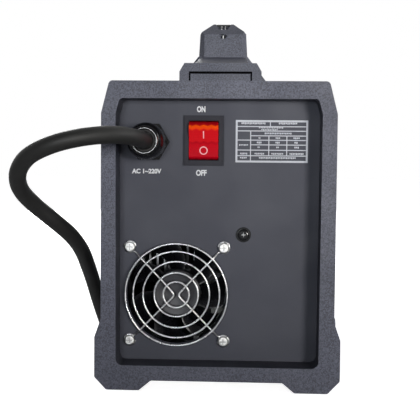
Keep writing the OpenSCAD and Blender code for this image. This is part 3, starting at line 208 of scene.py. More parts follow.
def plastic(name, color, rough=0.5, spread=0.12, grain=1500, depth=0.06, edge_highlight=0.0, coat=0.0, wave=None,
            speckle=0.05, recess=False, gloss=0.5):
    """Plastic, powder coat, rubber or enamel: mottled colour, uneven gloss and a fine surface grain."""
    mat, tree, shader, coord = node_tree(name)
    cloud = noise(tree, coord, 14, 4)
    fine = noise(tree, coord, grain, 2)
    dark = tuple(c * (1 - spread) for c in color)
    light = tuple(min(1, c * (1 + spread)) for c in color)
    mottled = mixed(tree, mapped(tree, cloud, 0.35, 0.65, 0, 1), dark, light)
    grit = math_node(tree, "MULTIPLY_ADD", mapped(tree, fine, 0.36, 0.64, -1, 1), speckle)
    grit.node.inputs[2].default_value = 1
    scaled = tree.nodes.new("ShaderNodeVectorMath")
    scaled.operation = "SCALE"
    tree.links.new(mottled, scaled.inputs[0])
    tree.links.new(grit, scaled.inputs["Scale"])
    tone = scaled.outputs[0]
    # painted highlight: lighter plastic along convex and concave edges, broken into patches
    if edge_highlight:
        highlight_tone = tuple(min(1, c * 2.1 + 0.03) for c in color)
        patches = mapped(tree, noise(tree, coord, 260, 4), 0.3, 0.7, 0.35, 1)
        edge = math_node(tree, "MULTIPLY", edge_mask(tree, 1.2 * MM), patches)
        tone = mixed(tree, math_node(tree, "MULTIPLY", edge, edge_highlight), tone, highlight_tone)
    # painted shade: darker plastic inside a bezel's recess
    if recess:
        tone = recess_shade(tree, coord, tone)
    tree.links.new(tone, shader.inputs["Base Color"])
    uneven = mapped(tree, noise(tree, coord, 40, 3), 0.3, 0.7, rough - 0.06, rough + 0.06)
    tree.links.new(uneven, shader.inputs["Roughness"])
    set_inputs(shader, {"Coat Weight": coat, "Coat Roughness": 0.12, "Specular IOR Level": gloss})
    parts = [(fine, 0.6, depth * MM), (noise(tree, coord, 55, 3), 0.12, 0.15 * MM)]
    if wave:
        axis, scale, height = wave
        parts.append((waves(tree, coord, axis, scale), 0.8, height * MM))
    bumped(tree, shader, parts)
    return mat


def metal(name, color, rough=0.25, brush=(1, 1, 1), scale=300, streak=0.06, dents=0.02):
    """Plated, turned or brushed metal with uneven gloss and fine scratches."""
    mat, tree, shader, coord = node_tree(name)
    stretch = tree.nodes.new("ShaderNodeMapping")
    stretch.inputs["Scale"].default_value = brush
    tree.links.new(coord, stretch.inputs["Vector"])
    lines = noise(tree, stretch.outputs[0], scale, 5, 0.65)
    stain = mapped(tree, noise(tree, coord, 60, 4), 0.35, 0.7, 0, 1)
    tone = mixed(tree, stain, tuple(c * 0.78 for c in color), color)
    tree.links.new(tone, shader.inputs["Base Color"])
    shader.inputs["Metallic"].default_value = 1
    uneven = mapped(tree, lines, 0.3, 0.7, rough - streak, rough + streak)
    tree.links.new(uneven, shader.inputs["Roughness"])
    bumped(tree, shader, [(lines, 0.25, dents * MM)])
    return mat


def lens_material(name, color, glow):
    """Clear coloured plastic that shines a little by itself."""
    mat, tree, shader, coord = node_tree(name)
    tone = mixed(tree, noise(tree, coord, 900, 2), tuple(c * 0.75 for c in color), color)
    tree.links.new(tone, shader.inputs["Base Color"])
    set_inputs(shader, {"Roughness": 0.14, "Coat Weight": 0.7, "Emission Color": (*color, 1),
                        "Emission Strength": glow})
    bumped(tree, shader, [(noise(tree, coord, 1500, 2), 0.1, 0.02 * MM)])
    return mat


def display_glass():
    mat, tree, shader, coord = node_tree("display_glass")
    tone = mixed(tree, noise(tree, coord, 25, 3), (0.008, 0.009, 0.01), (0.016, 0.016, 0.018))
    tree.links.new(tone, shader.inputs["Base Color"])
    uneven = mapped(tree, noise(tree, coord, 90, 4), 0.3, 0.7, 0.06, 0.12)
    tree.links.new(uneven, shader.inputs["Roughness"])
    shader.inputs["Coat Weight"].default_value = 0.8
    return mat


def rocker_red():
    """Clear red plastic with painted light: painted shade at the ends and the crease, a painted reflection
    on the upper half, a painted highlight band near the top and a faint painted glow.
    """
    mat, tree, shader, coord = node_tree("rocker_red")
    low_end, high_end, tooth = 171.2 * MM, 200.9 * MM, 2.9 * MM
    place = axes(tree, coord)
    teeth = math_node(tree, "PINGPONG", place["X"], tooth)
    ragged = math_node(tree, "ADD", place["Z"], math_node(tree, "MULTIPLY", teeth, 0.35))
    ramp = tree.nodes.new("ShaderNodeValToRGB")
    tree.links.new(mapped(tree, ragged, low_end, high_end, 0, 1), ramp.inputs[0])
    # painted light along the rocker's height: painted shade at both ends and the crease, a lighter upper
    # half as painted reflection, a ragged orange band as painted highlight
    stops = ((0.0, (0.2, 0.0, 0.006)), (0.06, (0.48, 0.002, 0.012)), (0.4, (0.54, 0.003, 0.012)),
             (0.45, (0.42, 0.002, 0.01)), (0.5, (0.62, 0.008, 0.014)), (0.76, (0.62, 0.008, 0.014)),
             (0.8, (0.85, 0.05, 0.006)), (0.87, (0.9, 0.09, 0.004)), (0.9, (0.45, 0.004, 0.008)),
             (1.0, (0.3, 0.0, 0.006)))
    while len(ramp.color_ramp.elements) < len(stops):
        ramp.color_ramp.elements.new(0.5)
    for element, (at, tone) in zip(ramp.color_ramp.elements, stops):
        element.position = at
        element.color = (*tone, 1)
    prisms_inside = mapped(tree, waves(tree, coord, "Z", 260, 1.5), 0, 1, 0, 0.18)
    tone = mixed(tree, prisms_inside, ramp.outputs[0], (0.35, 0.0, 0.004))
    tree.links.new(tone, shader.inputs["Base Color"])
    # painted glow: the red plastic shines faintly by itself
    tree.links.new(tone, shader.inputs["Emission Color"])
    set_inputs(shader, {"Emission Strength": 0.05, "Roughness": 0.4, "Specular IOR Level": 0.04})
    bumped(tree, shader, [(noise(tree, coord, 500, 2), 0.08, 0.04 * MM)])
    return mat


# ------------------------------------------------------------------ materials
charcoal = plastic("charcoal_plastic", (0.0805, 0.085, 0.119), 0.55, 0.08, 1150, 0.13, edge_highlight=0.2,
                   speckle=0.42, recess=True)
handle_grey = plastic("handle_plastic", (0.074, 0.079, 0.109), 0.55, 0.08, 1150, 0.12, edge_highlight=0.2,
                      speckle=0.42)
panel_grey = plastic("panel_powder_coat", (0.0475, 0.0505, 0.071), 0.6, 0.05, 2600, 0.03)
cover_grey = plastic("cover_powder_coat", (0.05, 0.052, 0.062), 0.5, 0.08, 1900, 0.06, edge_highlight=0.25)
switch_grey = plastic("switch_frame_plastic", (0.026, 0.026, 0.036), 0.55, 0.06, 2600, 0.02, gloss=0.2)
black_gloss = plastic("black_nylon", (0.006, 0.006, 0.007), 0.24, 0.1, 900, 0.02, coat=0.12, gloss=0.4)
# painted highlight: light grey for a bright rim round the black cap's mouth
lip_highlight = plastic("gland_lip_painted_highlight", (0.2, 0.2, 0.21), 0.2, 0.3, 900, 0.02, coat=0.5)
black_matte = plastic("black_plastic", (0.011, 0.011, 0.012), 0.55, 0.12, 1600, 0.04, gloss=0.16)
# painted shade: near-black sheets laid over shaded gaps and holes
shade_black = plastic("painted_shade_black", (0.003, 0.003, 0.004), 0.8, 0.1, 1600, 0.04, gloss=0.03)
fan_black = plastic("fan_plastic", (0.007, 0.007, 0.009), 0.26, 0.12, 1200, 0.03, coat=0.1, gloss=0.35)
hub_grey = plastic("fan_hub_label", (0.042, 0.042, 0.05), 0.42, 0.1, 900, 0.02)
rubber = plastic("black_rubber", (0.017, 0.017, 0.018), 0.68, 0.15, 900, 0.08)
sheath = plastic("cord_sheath", (0.0115, 0.0115, 0.011), 0.58, 0.12, 700, 0.05)
grip_rubber = plastic("grip_rubber", (0.016, 0.016, 0.018), 0.6, 0.1, 1000, 0.05, wave=("Y", 110, 0.35))
print_white = plastic("screen_print", (0.72, 0.73, 0.76), 0.6, 0.06, 900, 0.01)
print_grey = plastic("screen_print_grey", (0.56, 0.58, 0.64), 0.6, 0.1, 900, 0.01)
mark_pink = plastic("rocker_mark", (0.9, 0.46, 0.5), 0.5, 0.03, 900, 0.01)
zinc = metal("zinc_plate", (0.62, 0.62, 0.6), 0.4)
bright_zinc = metal("bright_zinc", (0.8, 0.8, 0.79), 0.36, scale=650, dents=1.6)
steel = metal("plain_steel", (0.42, 0.42, 0.42), 0.45)
wire_metal = metal("bright_wire", (0.9, 0.9, 0.92), 0.3, (1, 1, 0.4), 500)
black_screw = plastic("black_oxide", (0.006, 0.006, 0.007), 0.22, 0.15, 900, 0.03, coat=0.45, gloss=0.2)
brass = metal("brass", (0.75, 0.52, 0.2), 0.26)
aluminium = metal("aluminium", (0.68, 0.69, 0.71), 0.34, (1, 6, 1), 220)
cast = metal("cast_aluminium", (0.42, 0.43, 0.45), 0.5, (1, 1, 1), 700, 0.08)
copper = plastic("winding_enamel", (0.36, 0.1, 0.03), 0.28, 0.25, 400, 0.05, coat=0.5, wave=("Z", 330, 0.5))
ferrite = plastic("ferrite", (0.03, 0.03, 0.032), 0.6, 0.15, 800, 0.1)
board_green = plastic("solder_mask", (0.012, 0.085, 0.035), 0.3, 0.3, 350, 0.03, coat=0.5)
sleeve_blue = plastic("capacitor_sleeve", (0.02, 0.035, 0.12), 0.3, 0.08, 500, 0.01, coat=0.4)
hose_blue = plastic("hose", (0.02, 0.06, 0.32), 0.4, 0.1, 600, 0.03)
yellow = plastic("yellow_button", (0.8, 0.5, 0.03), 0.35, 0.05, 900, 0.01, coat=0.3)
red_button = plastic("red_button", (0.6, 0.012, 0.012), 0.3, 0.06, 900, 0.01, coat=0.4)
amber = lens_material("amber_lens", (0.85, 0.32, 0.03), 0.1)
digit_red = lens_material("digit_red", (0.75, 0.03, 0.015), 0.9)


# ------------------------------------------------------------------ mesh helpers
def declared(ob, body, replaces):
    """Links an object, declares its body and hides the nodes that it stands for."""
    scene.collection.objects.link(ob)
    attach(ob, body)
    if replaces:
        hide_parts(*replaces)
    return ob


def add_object(name, mesh, mat, body="chassis", slot=None, replaces=(), angle=SHARP_ANGLE):
    mesh.materials.clear()
    mesh.materials.append(mat)
    mesh.shade_smooth()
    mesh.set_sharp_from_angle(angle=math.radians(angle))
    return declared(bpy.data.objects.new(name, mesh), body, replaces)


def from_bmesh(name, bm):
    mesh = bpy.data.meshes.new(name)
    bmesh.ops.recalc_face_normals(bm, faces=bm.faces)
    bm.to_mesh(mesh)
    bm.free()
    return mesh


def soften(ob, width, segments=2, angle=30):
    """Rounds the edges above an angle, by a width."""
    bevel = ob.modifiers.new("edge", "BEVEL")
    bevel.width = width * MM
    bevel.segments = segments
    bevel.limit_method = "ANGLE"
    bevel.angle_limit = math.radians(angle)
    bevel.harden_normals = False
    bevel.miter_outer = "MITER_ARC"
    normals = ob.modifiers.new("normals", "WEIGHTED_NORMAL")
    normals.keep_sharp = True


def dressed(node, mat, width, segments=2, angle=30, name=None, slot=None, split_above=0):
    """A copy of a CAD node's mesh with softened edges, in that node's place.

    Faces with more corners than split_above, such as one with many holes, are cut into triangles first.
    """
    src = cad_nodes[node]
    name = name or node + "_look"
    bm = bmesh.new()
    bm.from_mesh(src.data)
    bmesh.ops.remove_doubles(bm, verts=bm.verts, dist=0.003 * MM)
    bmesh.ops.dissolve_limit(bm, angle_limit=math.radians(0.4), verts=bm.verts, edges=bm.edges)
    if split_above:
        bmesh.ops.triangulate(bm, faces=[f for f in bm.faces if len(f.verts) > split_above])
    ob = add_object(name, from_bmesh(name, bm), mat, src["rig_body"], slot, [node], 40)
    soften(ob, width, segments, angle)


def at_rear(x, z):
    """Local X to the right, Y up and Z out of the rear panel, in millimetres."""
    m = Matrix(((1, 0, 0, x), (0, 0, -1, REAR_Y + PANEL), (0, 1, 0, z), (0, 0, 0, 1)))
    return Matrix.Scale(MM, 4) @ m


def at_front(x, z):
    """The same for the front panel, as seen from the front."""
    m = Matrix(((-1, 0, 0, x), (0, 0, 1, -REAR_Y - PANEL), (0, 1, 0, z), (0, 0, 0, 1)))
    return Matrix.Scale(MM, 4) @ m


def lathe(name, profile, place, mat, segments=64, flutes=0, depth=0.0, between=(0, 0), closed=False, **more):
    """Turns a profile of (radius, height) pairs; flutes press shallow grooves into the heights between.

    A closed profile makes a ring, an open one gets a flat face at each end.
    """
    bm = bmesh.new()
    rings = []
    for r, z in profile:
        ring = []
        for i in range(segments):
            a = 2 * math.pi * i / segments
            rr = r
            if flutes and between[0] <= z <= between[1]:
                rr = r - depth * max(0.0, math.cos(a * flutes)) ** 2
            ring.append(bm.verts.new(place @ Vector((rr * math.cos(a), rr * math.sin(a), z))))
        rings.append(ring)
    bands = list(zip(rings, rings[1:]))
    if closed:
        bands.append((rings[-1], rings[0]))
    for a, b in bands:
        for i in range(segments):
            j = (i + 1) % segments
            bm.faces.new((a[i], a[j], b[j], b[i]))
    if not closed:
        bm.faces.new(rings[0])
        bm.faces.new(rings[-1])
    return add_object(name, from_bmesh(name, bm), mat, **more)


def prism(bm, outline, z0, z1, place):
    """An outline of (x, y) pairs between two heights of a place."""
    low = [bm.verts.new(place @ Vector((x, y, z0))) for x, y in outline]
    high = [bm.verts.new(place @ Vector((x, y, z1))) for x, y in outline]
    n = len(outline)
    bm.faces.new(low)
    bm.faces.new(high)
    for i in range(n):
        bm.faces.new((low[i], low[(i + 1) % n], high[(i + 1) % n], high[i]))


def prisms(name, parts, place, mat, width=0.0, **more):
    """One piece made of (outline, low, high) prisms, with edges softened by a width."""
    bm = bmesh.new()
    for outline, z0, z1 in parts:
        prism(bm, outline, z0, z1, place)
    ob = add_object(name, from_bmesh(name, bm), mat, **more)
    if width:
        soften(ob, width)
    return ob


def rectangle(x0, x1, y0, y1):
    return [(x0, y0), (x1, y0), (x1, y1), (x0, y1)]


def round_rectangle(x0, x1, y0, y1, r):
    pts, steps = [], 5
    corners = ((x1 - r, y0 + r, -90), (x1 - r, y1 - r, 0), (x0 + r, y1 - r, 90), (x0 + r, y0 + r, 180))
    for cx, cy, start in corners:
        for i in range(steps + 1):
            a = math.radians(start + 90 * i / steps)
            pts.append((cx + r * math.cos(a), cy + r * math.sin(a)))
    return pts


def circle(r, n):
    turns = [2 * math.pi * i / n for i in range(n)]
    return [(r * math.cos(a), r * math.sin(a)) for a in turns]


def cross(reach, half, z0, z1):
    """Two crossed bars, the upright one 0.01 higher so that their tops don't fight."""
    return [(rectangle(-reach, reach, -half, half), z0, z1),
            (rectangle(-half, half, -reach, reach), z0, z1 + 0.01)]


def tube_curve(name, points, radius, mat, cyclic=False, sides=4, replaces=()):
    """A round wire or cord along points in metres."""
    data = bpy.data.curves.new(name, "CURVE")
    data.dimensions = "3D"
    data.bevel_depth = radius
    data.bevel_resolution = sides
    data.use_fill_caps = True
    spline = data.splines.new("POLY")
    spline.points.add(len(points) - 1)
    for p, co in zip(spline.points, points):
        p.co = (*co, 1)
    spline.use_cyclic_u = cyclic
    spline.use_smooth = True
    data.materials.append(mat)
    return declared(bpy.data.objects.new(name, data), "chassis", replaces)


def catmull(points, k):
    """A smooth line through points, with k steps from each to the next."""
    out = []
    n = len(points)
    pts = [Vector(p) for p in points]
    for i in range(n - 1):
        a, b, c, d = pts[max(i - 1, 0)], pts[i], pts[i + 1], pts[min(i + 2, n - 1)]
        for j in range(k):
            t = j / k
            out.append(0.5 * (2 * b + (c - a) * t + (2 * a - 5 * b + 4 * c - d) * t * t
                              + (3 * b - 3 * c + d - a) * t * t * t))
    out.append(pts[-1])
    return out


def lettering(name, text, size, place, x, y, stretch, weight):
    """White printed letters, centred at x and y of a place and hardly proud of it."""
    data = bpy.data.curves.new(name, "FONT")
    data.body = text
    data.size = size
    data.align_x = "CENTER"
    data.align_y = "CENTER"
    data.offset = weight
    data.extrude = 0.02
    ob = bpy.data.objects.new(name + "_line", data)
    scene.collection.objects.link(ob)
    bpy.context.view_layer.update()
    mesh = bpy.data.meshes.new_from_object(ob.evaluated_get(bpy.context.evaluated_depsgraph_get()))
    bpy.data.objects.remove(ob)
    mesh.name = name
    mesh.transform(place @ Matrix.Translation((x, y, 0.03)) @ Matrix.Diagonal((stretch, 1, 1, 1)))
    add_object(name, mesh, print_white, slot="panel_paint")


# ------------------------------------------------------------------ mains cord and plug
GLAND = (-53.2, 184.6)
CORD_R = 6
ROUTE = [
    (-53.2, -174, 184.6), (-53.2, -190, 184.6), (-53.2, -205, 184.6), (-57, -224, 186), (-68, -241, 187),
    (-86, -253, 185), (-106, -256, 180), (-124, -249, 172), (-135, -235, 161), (-138, -217, 149),
    (-132, -200, 137), (-121, -187, 125), (-112, -171, 113), (-108, -151, 100), (-107, -128, 84),
    (-107, -104, 67), (-107, -82, 50), (-107, -60, 34), (-107, -38, 19), (-107, -18, 9.7), (-107, 5, 6.6),
    (-107, 32, 6.1), (-107, 65, 6), (-107, 98, 6), (-107, 132, 6), (-107, 163, 6), (-103, 187, 6),
    (-91, 205, 6), (-72, 215, 6), (-52, 216, 6), (-32, 216, 6)]
# the coil's outer radius, its middle, the step from turn to turn, the rise to its upper layer and its turns
COIL_R, COIL_X, COIL_Y, COIL_STEP, LAYER, TURNS = 75, -20, 291, 13.2, 13, 3
COIL_END = 60  # length of the straight end that runs into the plug
TURN_STEPS = 60


def coil_at(a):
    """The cord's middle after a turns: a spiral in along the floor, then out again one layer higher."""
    x = a - TURNS / 2
    t = min(max(2 * x + 0.5, 0), 1)
    f = 2 * x * x + 0.125 if abs(x) < 0.25 else abs(x)
    r = COIL_R - COIL_STEP * (TURNS / 2 - f)
    turn = 2 * math.pi * a
    rise = LAYER * t * t * (3 - 2 * t)
    return Vector((COIL_X + r * math.sin(turn), COIL_Y - r * math.cos(turn), CORD_R + rise))


cord_points = catmull(ROUTE, 6)
cord_points += [coil_at(i / TURN_STEPS) for i in range(TURN_STEPS * TURNS + 1)]
cord_points += [coil_at(TURNS) + Vector((s, 0, 0)) for s in (15, 30, 45, COIL_END - 0.2)]
cord_line = [p * MM for p in cord_points]
cord = tube_curve("mains_cord", cord_line, CORD_R * MM, sheath, sides=6,
                  replaces=("power_cord", "cord_coil"))

plug_x, plug_y, plug_z = COIL_X + COIL_END, COIL_Y - COIL_R, CORD_R + LAYER
plug_turned = Matrix(((0, 0, 1, plug_x), (0, 1, 0, plug_y), (-1, 0, 0, plug_z), (0, 0, 0, 1)))
plug_place = Matrix.Scale(MM, 4) @ plug_turned
RIBS, RIB_STEP = 6, 3.8
plug_profile = [(6.05, 0.1)]
for i in range(RIBS):
    low = 1 + i * RIB_STEP
    r = 8.2 + 0.16 * i
    plug_profile += [(r, low), (r, low + 2.4), (r - 1.3, low + 2.7), (r - 1.3, low + 3.5)]
plug_profile += [(9.2, 24), (11, 25.2), (13.4, 27.4), (15.8, 30.2), (17.4, 33), (18.5, 36.5), (18.95, 40),
                 (18.95, 56.6), (18.4, 57.6), (17.6, 57.95)]
plug_grip = lathe("plug_grip", plug_profile, plug_place, rubber, 72, flutes=12, depth=1.1, between=(37, 50),
                  slot="black_rubber", replaces=("plug_body",))
plug_face = prisms("plug_face", [(circle(15.6, 48), 57.2, 57.98)], plug_place, black_matte,
                   slot="dark_plastic")
CLIP_X, CLIP_HALF = 17.2, 1
clips = [(rectangle(s * CLIP_X - CLIP_HALF, s * CLIP_X + CLIP_HALF, -2.4, 2.4), 45, 57.9) for s in (-1, 1)]
earth_clips = prisms("plug_earth_clips", clips, plug_place, brass, 0.3, slot="brass")
PIN_Y = 9.5
pin_profile = [(2.4, 57.9), (2.4, 66), (2.15, 66.2), (2.15, 66.8), (2.4, 67), (2.4, 75.6), (2.2, 76.3),
               (1.5, 76.8), (0.6, 76.98)]
for i, s in enumerate((-1, 1)):
    pin_place = plug_place @ Matrix.Translation((0, s * PIN_Y, 0))
    lathe(f"plug_pin_{i}", pin_profile, pin_place, brass, 32, slot="brass")
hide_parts("plug_pins")

# ------------------------------------------------------------------ cable gland
gland = at_rear(*GLAND)
dressed("gland_body", black_matte, 0.5, 2, 25, "gland_hexagon", slot="black_plastic")
# a light grey ring at the cap's mouth: painted highlight
lip_profile = [(8.75, 31.6), (9.3, 31.6), (9.3, 32.0), (9.1, 32.15), (8.9, 32.15), (8.75, 32.0)]
gland_lip = lathe("gland_lip", lip_profile, gland, lip_highlight, 96, closed=True, slot="black_plastic")
cap_profile = [(11.2, 5.5), (13.1, 5.45), (13.65, 6.1), (13.7, 7), (13.7, 20), (13.5, 22), (13.55, 22.6),
               (13.2, 24.6), (12.5, 26.8), (11.5, 28.9), (10.6, 30.2), (9.9, 30.8), (9.75, 31.3),
               (9.5, 31.85), (9.1, 31.97), (8.8, 31.7), (8.7, 31), (8.7, 27.2), (11.2, 24.2)]
gland_cap = lathe("gland_cap_look", cap_profile, gland, black_gloss, 96, flutes=16, depth=0.55,
                  between=(6.5, 21), closed=True, slot="black_plastic", replaces=("gland_cap",))
seal_profile = [(6.06, 19.1), (8.55, 19.1), (8.55, 28.6), (7.9, 29.4), (6.6, 29.5), (6.06, 28.8)]
gland_seal = lathe("gland_seal_look", seal_profile, gland, rubber, 64, closed=True, slot="black_rubber",
                   replaces=("gland_seal",))

# ------------------------------------------------------------------ case
dressed("rear_bezel", charcoal, 0.8, 3, 28, slot="charcoal_plastic")
dressed("front_bezel", charcoal, 0.8, 3, 28, slot="charcoal_plastic")
dressed("handle", handle_grey, 0.6, 3, 20, slot="charcoal_plastic")
dressed("handle_pad", grip_rubber, 0.4, 2, 25, slot="black_rubber")
dressed("cover", cover_grey, 0.35, 2, 30, slot="cover_paint", split_above=8)

# the handle's posts and bosses, as depths behind the bezels' faces, and the height of its end screws
POST_Y, BOSS_Y, END_SCREW_Z = 92.0, 30.0, 274.6


def at_handle_end(side, depth, z):
    """X along the handle's width, Y up and Z out of an end, at a depth behind the bezel's face."""
    turn = Matrix(((side, 0, 0, 0), (0, 0, -side, 0), (0, 1, 0, 0), (0, 0, 0, 1)))
    return Matrix.Scale(MM, 4) @ Matrix.Translation((0, side * (REAR_Y + depth), z)) @ turn


def boss_gap():
    """Painted shade in the gap over and beside the plate of the handle's boss, as three strips."""
    half, top, low, width = 24.1, 238.7, 229.2, 1.25
    under = top - width - 0.5
    strips = ((-half, half, under, top), (-half, width - half, low, under),
              (half - width, half, low, under))
    return [(rectangle(*strip), 0.0, 0.06) for strip in strips]


# painted shade as a dark disc over the head of each end screw, a painted glint as a bright bar on it, and
# painted shade in the gap round each boss
for end, side in {"rear": 1, "front": -1}.items():
    head = at_handle_end(side, POST_Y + 2.6, END_SCREW_Z)
    prisms("end_screw_head_shade_" + end, [(circle(1.66, 32), 0.02, 0.12)], head, shade_black, slot="dark_plastic")
    glint_bar = [(rectangle(-0.42, 0.42, -1.3, 1.3), 0.13, 0.2)]
    prisms("end_screw_glint_" + end, glint_bar, head, steel, slot="bright_wire")
    prisms("boss_gap_" + end, boss_gap(), at_handle_end(side, BOSS_Y + 0.8, 0), shade_black,
           slot="charcoal_plastic")
dressed("rear_panel", panel_grey, 0.25, 2, 40, slot="panel_paint", split_above=8)
dressed("front_panel", panel_grey, 0.25, 2, 40, slot="panel_paint")
dressed("switch_frame", switch_grey, 0.3, 2, 40, slot="dark_plastic", split_above=8)
dressed("fan_frame", fan_black, 0.4, 2, 40, slot="dark_plastic", split_above=8)

# ------------------------------------------------------------------ print on the rear panel
PRINT_LOW, PRINT_HIGH = 0.01, 0.05
panel_place = at_rear(0, 0)

# words beside the switch and the gland, as (text, size, x, height, stretch, weight)
WORDS = {"print_on": ("ON", 5.8, -13.9, 209.2, 0.7, 0.26),
         "print_off": ("OFF", 5.8, -13.5, 161.3, 0.78, 0.24),
         "print_mains": ("AC 1~220V", 4.6, -55.0, 162.3, 0.98, 0.2)}
for name, (text, size, x, z, stretch, weight) in WORDS.items():
    lettering(name, text, size, panel_place, x, z, stretch, weight)

# a data plate's grid: its rows as (height, 1 where short), its columns as (x, low, high) and its print
# as (height, size, (start, end)), without readable words
GRID_X, GRID_Z = (12.2, 66.5), (169.7, 201.5)
GRID_ROWS = ((196.7, 0), (193.4, 0), (189.8, 1), (186.5, 0), (183.0, 1), (179.0, 0), (174.8, 0))
GRID_COLUMNS = ((38.2, 196.7, 201.5), (23.5, 169.7, 193.4), (37.2, 174.8, 189.8), (50.7, 174.8, 189.8))
GRID_PRINT = (
    (199.1, 1.5, (16.5, 34.8)), (199.1, 1.5, (44.5, 58.6)), (195.8, 1.0, (29.6, 48.1)),
    (194.3, 0.9, (31.4, 44.1)), (191.6, 1.3, (34.0, 54.4)), (188.1, 1.2, (29.4, 31.0)),
    (188.1, 1.2, (42.2, 45.9)), (188.1, 1.3, (55.6, 60.6)), (184.7, 1.5, (28.2, 32.0)),
    (184.7, 1.5, (42.2, 45.6)), (184.7, 1.5, (56.4, 59.1)), (182.8, 1.1, (14.8, 21.9)),
    (181.1, 1.3, (28.8, 30.6)), (181.1, 1.3, (42.8, 45.0)), (181.1, 1.4, (56.4, 60.0)),
    (176.3, 1.4, (15.6, 21.3)), (176.3, 1.3, (26.6, 34.0)), (176.3, 1.3, (39.2, 48.4)),
    (176.3, 1.4, (52.8, 63.6)), (173.2, 1.3, (15.6, 21.0)), (173.2, 1.3, (29.9, 57.8)))


def grid_lines():
    """Frame, rows and columns of the plate."""
    (x0, x1), (z0, z1) = GRID_X, GRID_Z
    edge, half = 1.45, 0.35
    left, right_end, low_end, high_end = x0 + edge, x1 - edge, z0 + edge, z1 - edge
    short_left = GRID_COLUMNS[1][0]
    bars = [(x0, x1, high_end, z1), (x0, x1, z0, low_end), (x0, left, low_end, high_end),
            (right_end, x1, low_end, high_end)]
    for z, short in GRID_ROWS:
        bars.append((short_left if short else left, right_end, z - half, z + half))
    lines = [(rectangle(*bar), PRINT_LOW, PRINT_HIGH) for bar in bars]
    for x, low, high in GRID_COLUMNS:
        upright = rectangle(x - half, x + half, max(low, low_end), min(high, high_end))
        lines.append((upright, PRINT_LOW, PRINT_HIGH + 0.01))
    return lines


def grid_print():
    """Rows of small strokes that stand for print too fine to read."""
    pitch, filled = 1.25, 0.74
    strokes = []
    for z, height, (start, end) in GRID_PRINT:
        count = max(2, round((end - start) / pitch))
        step = (end - start) / count
        for k in range(count):
            x = start + k * step
            drop = 0.12 * ((k * 7 + round(z)) % 3)
            stroke = rectangle(x, x + filled * step, z - height / 2 + drop, z + height / 2)
            strokes.append((stroke, PRINT_LOW, PRINT_HIGH - 0.01))
    return strokes


prisms("print_grid", grid_lines(), panel_place, print_grey, slot="panel_paint")
prisms("print_fields", grid_print(), panel_place, print_grey, slot="panel_paint")

# ------------------------------------------------------------------ rocker
ROCKER, PIVOT, TILT = (-11.8, 185.8), -1.2, 11
FACE_MIDDLE = 4  # the face's height over the pivot at its middle, from where it rises to both ends
MARK_ON, MARK_OFF = 5.3, -6.6  # how far the marks lie above and below the middle
dressed("rocker", rocker_red(), 0.5, 3, 25, slot="red_plastic")
tilt = Matrix.Rotation(math.radians(TILT), 4, "X")
rocker_place = at_rear(*ROCKER) @ Matrix.Translation((0, 0, PIVOT)) @ tilt
slope = math.atan2(2.2, 11.2)


def on_rocker(y):
    """A place on the upper or the lower slope of the rocker's face, y above its middle."""
    rise = FACE_MIDDLE + abs(y) * math.tan(slope)
    leaning = Matrix.Rotation(math.copysign(slope, y), 4, "X")
    return rocker_place @ Matrix.Translation((0, y, rise)) @ leaning


def ring_mark(name, place, outer_r, inner_r):
    """A flat printed ring."""
    bm = bmesh.new()
    steps = 48
    outer, inner = ([bm.verts.new(place @ Vector((x, y, PRINT_HIGH))) for x, y in circle(r, steps)]
                    for r in (outer_r, inner_r))
    for i in range(steps):
        j = (i + 1) % steps
        bm.faces.new((outer[i], outer[j], inner[j], inner[i]))
    add_object(name, from_bmesh(name, bm), mark_pink, "rocker", "red_plastic")


bar = rectangle(-0.38, 0.38, -2.9, 2.9)
prisms("rocker_mark_on", [(bar, 0.005, PRINT_HIGH)], on_rocker(MARK_ON), mark_pink, body="rocker",
       slot="red_plastic")
ring_mark("rocker_mark_off", on_rocker(MARK_OFF), 3.1, 2.35)

# ------------------------------------------------------------------ fan
FAN = (-31.5, 69.2)
fan = at_rear(*FAN)
HUB_TOP, HUB_LOW = -3.0, -21.3
hub_profile = [(1.5, -24.2), (1.5, -5.5), (16.9, -5.5), (16.9, HUB_LOW), (18.3, HUB_LOW),
               (18.5, HUB_LOW + 0.3), (18.5, HUB_TOP - 1.6), (18.2, HUB_TOP - 0.7), (17.5, HUB_TOP - 0.15),
               (16.8, HUB_TOP), (14.6, HUB_TOP), (14.2, HUB_TOP - 0.5), (0.4, HUB_TOP - 0.52)]
lathe("fan_hub", hub_profile, fan, fan_black, 96, body="fan_rotor", slot="dark_plastic",
      replaces=("fan_rotor",))
label_profile = [(0.4, HUB_TOP - 0.5), (13.9, HUB_TOP - 0.5), (14.1, HUB_TOP - 0.1), (14.9, HUB_TOP + 0.02),
                 (17.1, HUB_TOP + 0.02), (17, HUB_TOP + 0.1), (14.7, HUB_TOP + 0.1), (13.8, HUB_TOP - 0.3),
                 (0.4, HUB_TOP - 0.32)]
lathe("fan_hub_label", label_profile, fan, hub_grey, 96, body="fan_rotor", slot="dark_plastic")

BLADES, BLADE_START, ROOT_R, TIP_R = 7, 8, 17.7, 36.6
BLADE_LOW, BLADE_HIGH, BLADE_HALF = HUB_LOW + 0.6, HUB_TOP - 1.2, 0.75
SWEEP, WRAP = 14, 36  # angles by which a blade runs on at its tip, and turns between its two edges


def blade_point(base, side, t, s):
    """A point on one side of a blade: t goes from root to tip and s from the inner to the outer edge."""
    r = ROOT_R + (TIP_R - ROOT_R) * t
    z = BLADE_LOW + (BLADE_HIGH - BLADE_LOW) * (s + 0.05 * math.sin(math.pi * s) * (1 - t))
    a = math.radians(base + SWEEP * t * t - WRAP * (s + 0.1 * math.sin(2 * math.pi * s) / 2))
    thick = BLADE_HALF * (0.35 + 0.65 * math.sin(math.pi * min(max(s, 0.06), 0.94)))
    a += side * thick / r
    return fan @ Vector((r * math.cos(a), r * math.sin(a), z))


